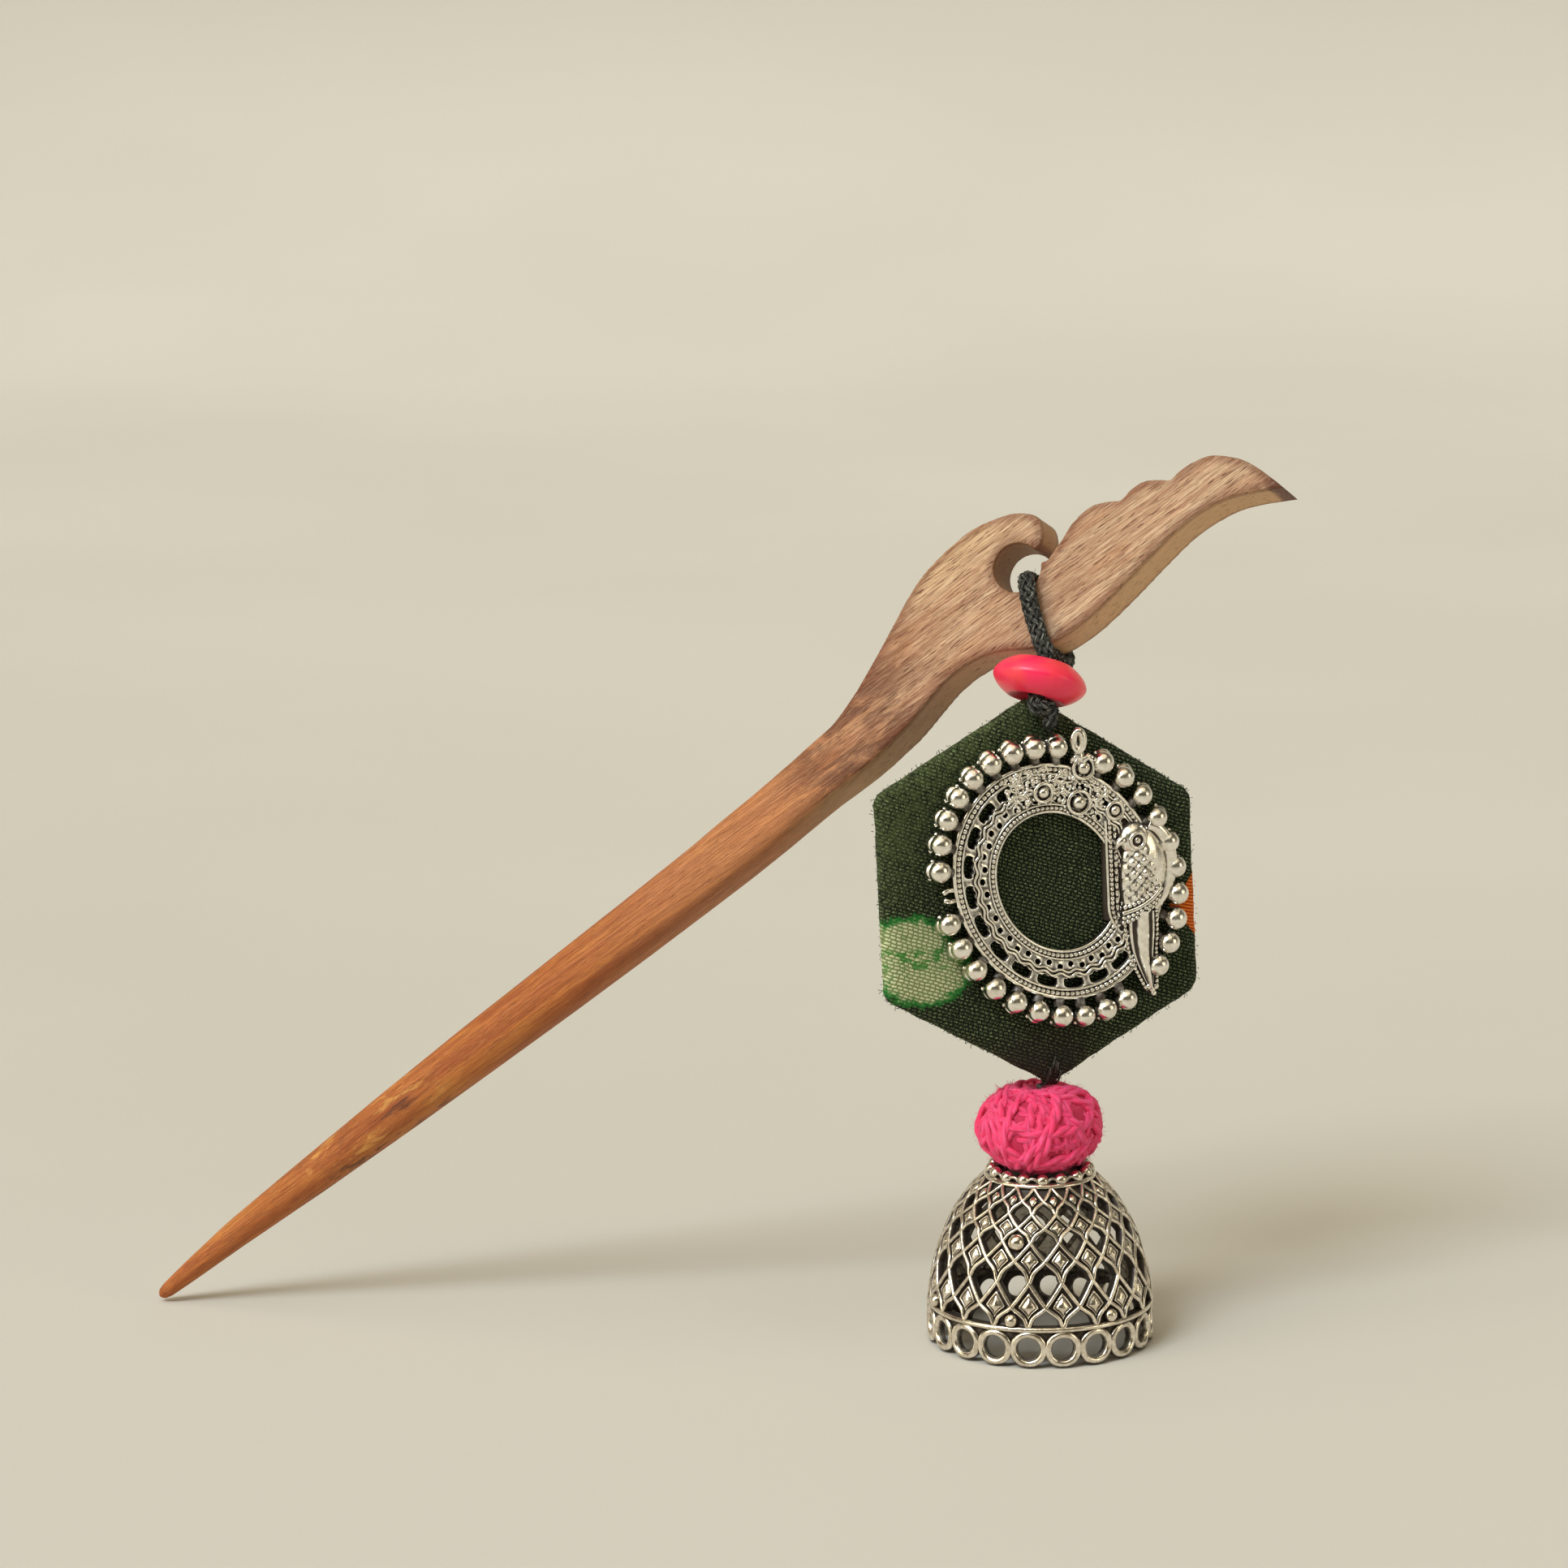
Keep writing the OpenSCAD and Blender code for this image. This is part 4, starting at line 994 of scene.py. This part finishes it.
def beaded(s, path, r, step, gap_tone=.1):
    """A milled wire: a row of small beads along a path."""
    swell = [abs(sin(pi * i / 4)) for i in range(4)]
    s.tube(respace(path, step / 4), lambda i: r * (.55 + .45 * swell[i % 4]), 7,
           tone=lambda i: gap_tone + (1 - gap_tone) * swell[i % 4])


def pillow(s, outline, base, height, pattern=None, rings=12, fullness=.55, tone=1):
    """A raised form over an outline, with an optional pattern of its own height."""
    c = sum(outline, Vector((0, 0, 0))) / len(outline)
    made = [s.ring(flat(outline, .15), 0)]
    for k in range(rings):
        f = 1 - k / rings
        rise = (1 - f ** 2.6) ** fullness
        pts, shades = [], []
        for p in outline:
            q = c + (p - c) * f
            extra = pattern(q) if pattern and k else 0
            pts.append(q + (base + height * rise + extra * (.2 + .8 * rise)) * UP)
            shade = .1 + .9 * min(1, extra / .14) if pattern else 1
            shades.append(tone * (.1 if k < rings * .08 else 1) * shade)
        made.append(s.ring(pts, shades))
    s.loft(made)
    s.fan(made[-1], c + (base + height) * UP, tone)


def boss(s, x, y, r):
    """A dome in a smooth cup with a ring of grains."""
    z, n = 1.25, 28
    s.ball(Vector((x, y, z + .2)), r * .62, 10, 18, squash=.95, low=0)
    s.tube(circle(n, r, x, y, z + .25), .24, 8, closed=True)
    wall = ((1.05, .2), (1.05, z + .2), (.95, z + .15), (.8, z - .1))
    s.fan(s.skin([circle(n, r * f, x, y, h) for f, h in wall], 0)[-1], Vector((x, y, z - .1)), 0)
    for at in circle(int(r * 9), r * 1.24, x, y, z - .1):
        s.ball(at, .26, 6, 9, low=.05)


# The bird's outlines, in the ring's own millimetres
PLATE = [(6.2, 7.2), (8, 7.9), (11.2, 7.5), (14.2, 5.4), (15.8, 1.6), (15.0, -2.4), (13.9, -5.4), (13.7, -10.6),
         (13.8, -14.4), (12.6, -15.4), (11.2, -13.4), (9.4, -9.6), (8.2, -6.4), (6.4, -5.4)]
BODY = [(8.5, 3.2), (9.6, 5.6), (11.3, 6.7), (12.9, 6.1), (14.4, 4.1), (15.1, 1.4), (14.7, -1.4), (13.3, -3.5),
        (11.3, -4.7), (9.2, -5.2), (8.5, -3.2), (8.2, 0)]
BACK = [(12, 6.4, 1.7), (13.1, 5.9, 1.9), (14.3, 4.4, 1.95), (15, 2, 1.9), (14.9, -.4, 1.8),
        (14.2, -2.5, 1.7), (13, -4.4, 1.6)]
WING = [(8.4, -4.6, 1.9), (10.2, -4.0, 2.3), (12.0, -3.0, 2.45), (13.6, -1.6, 2.2)]
# Middle and half-width of the tail's blade, from its top down, and its section: sideways, up and tone
TAIL = [(11.1, -4.4, 1.75), (11.2, -7.0, 1.8), (11.45, -10.0, 1.45), (12.1, -12.6, .9), (12.7, -14.7, .3)]
BLADE = [(-1, -.5, 0), (-.97, -.05, .3), (-.86, .1, .9), (-.72, .04, .1), (-.56, .06, 0), (-.42, .24, .5),
         (-.2, .44, 1), (.05, .5, 1), (.26, .44, .7), (.42, .28, .1), (.6, .06, 0), (.72, .04, 0),
         (.84, .12, .9), (.97, 0, .4), (1, -.5, 0)]


def scales(p):
    """Rows of scales on the bird's body, which end at its smooth back."""
    a, b = (p.x * .62 + p.y * .78) / 1.05, (p.x * .78 - p.y * .62) / 1.05
    smooth = max(0, min(1, (p.x - 11.6 + .45 * (p.y - 1)) / 1.2))
    return .42 * abs(cos(pi * a) * cos(pi * b)) * (1 - smooth) + .25 * smooth


def build_bird(s):
    pillow(s, curve(flat(PLATE), 4, {0, len(PLATE) - 1}), .9, .12, tone=.1, rings=4)
    pillow(s, curve(flat(BODY), 8, ()), .9, 1.75, scales, rings=28, fullness=.8)
    pillow(s, circle(40, 2.15, 10.1, 4.75), 1.2, 1.55, rings=14, fullness=.75)
    # Eye and beak
    s.tube(circle(28, .95, 10, 4.75, 2.78), .24, 8, closed=True)
    s.ball(Vector((10, 4.75, 2.46)), .9, 8, 18, squash=.44, tone=0)
    s.ball(Vector((10, 4.75, 2.76)), .42, 10, 14, squash=.7, low=.05)
    s.tube(points([(8.5, 5, 2), (7.8, 4.3, 1.7), (7.5, 3.3, 1.3)]), lambda i: (.6, .42, .14)[i], 10)
    # The broad smooth back, and the milled band of the wing
    back = curve(points(BACK), 8)
    last = len(back) - 1
    s.tube(back, lambda i: .35 + .45 * sin(pi * min(1, .12 + .88 * i / last)) ** .6, 12, up=UP, squash=.7)
    wing = curve(points(WING), 10)
    s.tube(wing, .3, 8)
    for lift in (.68, -.68, -1.25):
        beaded(s, [p + Vector((.1 * lift, lift, -.08 * abs(lift))) for p in wing], .3, .6)
    # Tail: a curved blade with a ridge and two grooves
    line = curve(points(TAIL), 10)
    rows = []
    for i, p in enumerate(line):
        top = 1.75 - .6 * i / (len(line) - 1)
        rows.append([Vector((p.x + x * p.z, p.y - .12 * x * p.z, top + 2.1 * z * (.35 + .65 * p.z / 1.8)))
                     for x, z, _ in BLADE])
    s.skin(rows, tones(BLADE), closed=False)
    beaded(s, [Vector((p.x + p.z + .36, p.y, 1.3)) for p in line], .3, .6)
    beaded(s, [Vector((p.x - p.z - .3, p.y - .2, 1.25)) for p in line[6:]], .26, .58)
    for dx, dy in ((0, 0), (.5, .35), (-.45, .4), (.2, -.45)):
        s.ball(Vector((12.8 + dx, -14.8 + dy, 1.15)), .42, 8, 12, low=.2)


def ring_balls(s, rng):
    """Balls on short dark posts, each before a lumpy cup. Two places are bare, and one has a broken stub."""
    count, broken, bare = 32, 5, (16, 27)
    for i in range(count):
        t = 360 / count * i + 6
        if i in bare:
            continue
        if i == broken:
            for dt in (-2.4, 2.4):
                stub = ((1, .87, .75), (1.1, .93, .8), (.6, .975, .8))
                s.tube([oval(t + dt * f, share, z) for f, share, z in stub], .34, 8)
            continue
        at, root = oval(t, 1, 1.4), oval(t, .87, .7)
        out = (at - root).normalized()
        s.tube([root, at - .7 * UP], .7, 8, tone=.3)
        s.ball(at + Vector((out.x * .5, out.y * .5, -.62)), 1.24, 9, 16, squash=.8, tone=.7, low=.1)
        for q in range(4):
            s.ball(at + polar(1.32, atan2(out.y, out.x) + (q - 1.5) * .62, -.72), .34, 6, 9, tone=.8, low=.1)
        at += Vector((rng.uniform(-.06, .06), rng.uniform(-.06, .06), 0))
        s.ball(at, rng.uniform(1.36, 1.46), 14, 24, low=.4)


def build_ring():
    s = Shape()
    rng = random.Random(3)
    # Outer smooth wire, milled row and the fine wire inside it, then the same of the inner border
    for share, z, r in ((.865, .95, .3), (.804, 1.15, .16), (.522, .8, .24), (.577, 1.1, .14)):
        s.tube(ovals(share, z), r, 8 if r > .2 else 6, closed=True)
    for share, z, r, step in ((.834, 1.12, .3, .68), (.55, 1.05, .28, .62)):
        path = ovals(share, z)
        beaded(s, path + path[:1], r, step)
    # The body under them
    for lo, hi, z in ((.80, .87, .85), (.515, .575, .8)):
        s.skin([ovals(*rim) for rim in ((hi, z), (lo, z), (lo, .05), (hi, .05))], .05, loop=True)
    # Slots of the outer row, twelve of them wide, and the small round holes of the inner rows
    for i in range(SLOTS):
        t = FIRST + SLOT_PITCH * i
        slot = (t, .748, 6.5, .045) if i < 12 else (t, .748, 4.2, .03)
        pierced(s, (t, .747, SLOT_PITCH / 2, .059), slot, 3.2, .4, 1.2, 44)
    for i in range(HOLES):
        t = FIRST + 360 / HOLES * i
        pierced(s, (t, .631, 180 / HOLES, .057), (t, .612 + .024 * (i % 2), 2.1, .021), 2, 0, 1.1, 20)
    # Two wavy wires between the rows
    for share, swing, z in ((.694, .013, 1.3), (.664, .01, 1.2)):
        s.tube([oval(t / 4 * 3, share + swing * sin(deg(t / 4 * 3 - FIRST) * 360 / SLOT_PITCH * 1.5), z)
                for t in range(480)], .17, 6, closed=True)
    ring_balls(s, rng)
    # The straight border beside the bird, and behind it a row of beads whose dark necks, painted shade, stand
    # in for small holes
    border = [(6.35, 7.2), (6.5, 4.6), (6.65, 1.2), (6.8, -2.0), (7.0, -4.6), (7.9, -6.5)]
    line = curve(flat(border, 1.05), 14)
    s.tube(line, .22, 7)
    beaded(s, [p + Vector((.5, 0, .12)) for p in line], .28, .6)
    beaded(s, [p + Vector((1.15, 0, .1)) for p in line[4:-8]], .3, .92, 0)
    build_bird(s)
    bosses = ((2.6, 9.9, 1.45), (-2.2, 11.5, 1.15), (7.5, 8.5, 1.05), (3.2, 14.2, 1.35))
    for at in bosses:
        boss(s, *at)
    # Grains and short curls over the plate between the bosses and the bird
    grains, curls = 230, 60
    for _ in range(grains):
        p = oval(rng.uniform(288, 356), rng.uniform(.58, .85), rng.uniform(1.0, 1.25))
        size = rng.uniform(.2, .4)
        if all(hypot(p.x - x, p.y - y) > r * 1.3 for x, y, r in bosses):
            s.ball(p, size, 6, 9, low=.05)
    for _ in range(curls):
        p = oval(rng.uniform(288, 356), rng.uniform(.6, .83), 1.25)
        start, size = rng.uniform(0, TAU), rng.uniform(.3, .6)
        if all(hypot(p.x - x, p.y - y) >= r * 1.5 for x, y, r in bosses):
            s.tube([p + polar(size, start + q * .55) for q in range(8)], .15, 6)
    # The hanging bail and its leaf-shaped foot
    s.tube([Vector((2.4 + .5 * cos(a), 17.7 + 1.2 * sin(a), 1.7 + .3 * cos(a))) for a in turns(32)], .5, 12,
           closed=True)
    for side in (-1, 1):
        foot = [(3.1 + side * 1.5, 15.2, 1.2), (3.1 + side * .75, 15.7, 1.4), (3, 14.9, 1.5)]
        s.tube(points(foot), .4, 8, tone=.9)
    s.tube(points([(2.4, 16.6, 1.4), (2.8, 15.2, 1.1), (3.2, 13.6, .9)]), .7, 8, tone=.7)
    s.make("silver_ring", SILVER, "silver", RING_FRAME, "ring_charm")


# Yarn ball and lower thread
def yarn_point(direction, lift=0):
    """A point of the lumpy ball's surface in a direction from its middle."""
    d = direction.normalized()
    a = asin(max(-1, min(1, d.z)))
    t = atan2(d.y, d.x)
    # Lumps all round, and the bulge at the left
    lump = 1 + .02 * sin(3 * t + deg(40)) + .015 * sin(5 * t)
    lump += .08 * max(0, -cos(t - deg(6))) ** 14 * max(0, 1 - 3 * (a + .12) ** 2)
    # The surface's own angle, found from the direction's slope
    rise = atan2(sin(a) / (YARN_H / 2), cos(a) / (YARN_D / 2))
    corner, sink = (2.3, .15) if rise > 0 else (2.0, .28)
    p = polar(YARN_D / 2 * power(cos(rise), corner) * lump, t,
              YARN_H / 2 * power(sin(rise), corner) * (1 - sink * (1 - cos(rise)) ** 3))
    return p * (1 + lift / max(p.length, .1))


def build_yarn():
    s = Shape()
    # A core that closes the gaps between the wraps; its low tone paints it dark, as painted shade
    rings = s.skin([[yarn_point(polar(cos(a), t, sin(a)), -.7) for t in turns(48)]
                    for a in [pi * i / 30 - pi / 2 for i in range(1, 30)]], .25)
    s.fan(rings[0][::-1], -YARN_H / 2 * .7 * UP, .3)
    s.fan(rings[-1], YARN_H / 2 * .7 * UP, .3)
    rng = random.Random(21)
    wraps, hairs = 74, 1300
    for k in range(wraps):
        axis = gauss(rng, 1, 1, .8)
        while axis.length <= .3:
            axis = gauss(rng, 1, 1, .8)
        axis.normalize()
        x, y = square_to(axis)
        start, sweep, tilt = rng.uniform(0, TAU), rng.uniform(1.6, 4.4), rng.uniform(-.45, .45)
        depth = -.8 + .8 * (k / wraps) + rng.uniform(-.12, .12)
        thick = rng.uniform(.62, .78)
        steps = int(sweep * 21)
        path, ups = [], []
        for i in range(steps + 1):
            a = start + sweep * i / steps
            d = cos(a) * x + sin(a) * y + axis * (tilt + .06 * sin(3 * a + k))
            # Both ends dive under the other wraps
            ends = min(1, min(i, steps - i) / 7)
            path.append(yarn_point(d, depth - .9 * (1 - ends) - thick * .4))
            ups.append(d.normalized())
        # Each wrap is two plies that turn round each other
        for ply in (0, pi):
            line = []
            for i, (p, u) in enumerate(zip(path, ups)):
                turn = i * .42 + ply + k
                line.append(p + .42 * thick * (cos(turn) * heading(path, i).cross(u) + .6 * sin(turn) * u))
            # Painted shade: the wraps laid first lie deepest and get the lowest tone, so the darkest colour
            s.tube(line, thick * .58, 7, up=ups, squash=.9, seed=k * 1.37 + ply, tone=.7 + .3 * (k / wraps))
    # Fuzz
    for _ in range(hairs):
        d = gauss(rng, 1, 1, 1)
        if d.length < .2:
            continue
        a, out = yarn_point(d, -.15), d.normalized() * .5
        lean = gauss(rng, 1, 1, 1) * .5
        length = rng.uniform(.2, .8) * (1.8 if rng.random() < .05 else 1)
        b = a + (out + lean).normalized() * length * .6
        c = b + (out + lean * 2).normalized() * length * .6
        s.tube([a, b, c], .02, 3, caps=False, seed=rng.random() * 9)
    s.make("yarn_ball_wound", YARN, "yarn", YARN_FRAME, "yarn_ball")


def build_thread():
    s = Shape()
    point = .06 * PAD_W / 2
    rng = random.Random(5)
    # Stitches over the hexagon's lower point, front and back
    for k in range(7):
        dx = point + (k - 3) * .24
        rise = 3.6 + rng.uniform(-.5, .5) - abs(k - 3) * .35
        line = []
        for f in [q / 12 for q in range(13)]:
            c = cos(pi * f)
            up = PAD_FOOT - .22 + rise * abs(c) ** 1.5 * (1 if f < .5 else .8)
            line.append(DROP + PAD_X * (dx + .12 * sin(5 * f + k)) + PAD_OUT * (PAD_T / 2 + .12) * c + up * UP)
        s.tube(line, .13, 6, seed=k * 2.1)
    # The thread runs down through the ball: two plies
    for ply in (0, 1):
        s.tube([DROP + polar(.22, i * .55 + ply * pi, PAD_FOOT - .1 - i * .123) for i in range(120)], .27, 6,
               seed=ply * 3.3)
    # Its knot inside the bell, with a loose end
    knot = DROP + (PLATE_TOP - 1.8 - GAP) * UP
    for k in range(5):
        axis = gauss(rng, 1, 1, .6).normalized()
        x, y = square_to(axis)
        s.tube([knot + .85 * (cos(a) * x + sin(a) * y) + axis * .25 * sin(k + 2 * a) for a in turns(24)], .4, 7,
               closed=True, seed=k)
    s.tube([knot + UP, knot, knot + Vector((.5, .2, -1.2)), knot + Vector((.9, .1, -1.9))], .24, 6)
    s.make("lower_thread_twist", CORD, "cord", node="lower_thread")


add_camera()
add_lights()
add_stage()
for build in (build_stick, build_cord, build_bead, build_pad, build_bell, build_ring, build_yarn, build_thread):
    build()
scene.view_settings.view_transform = "Standard"
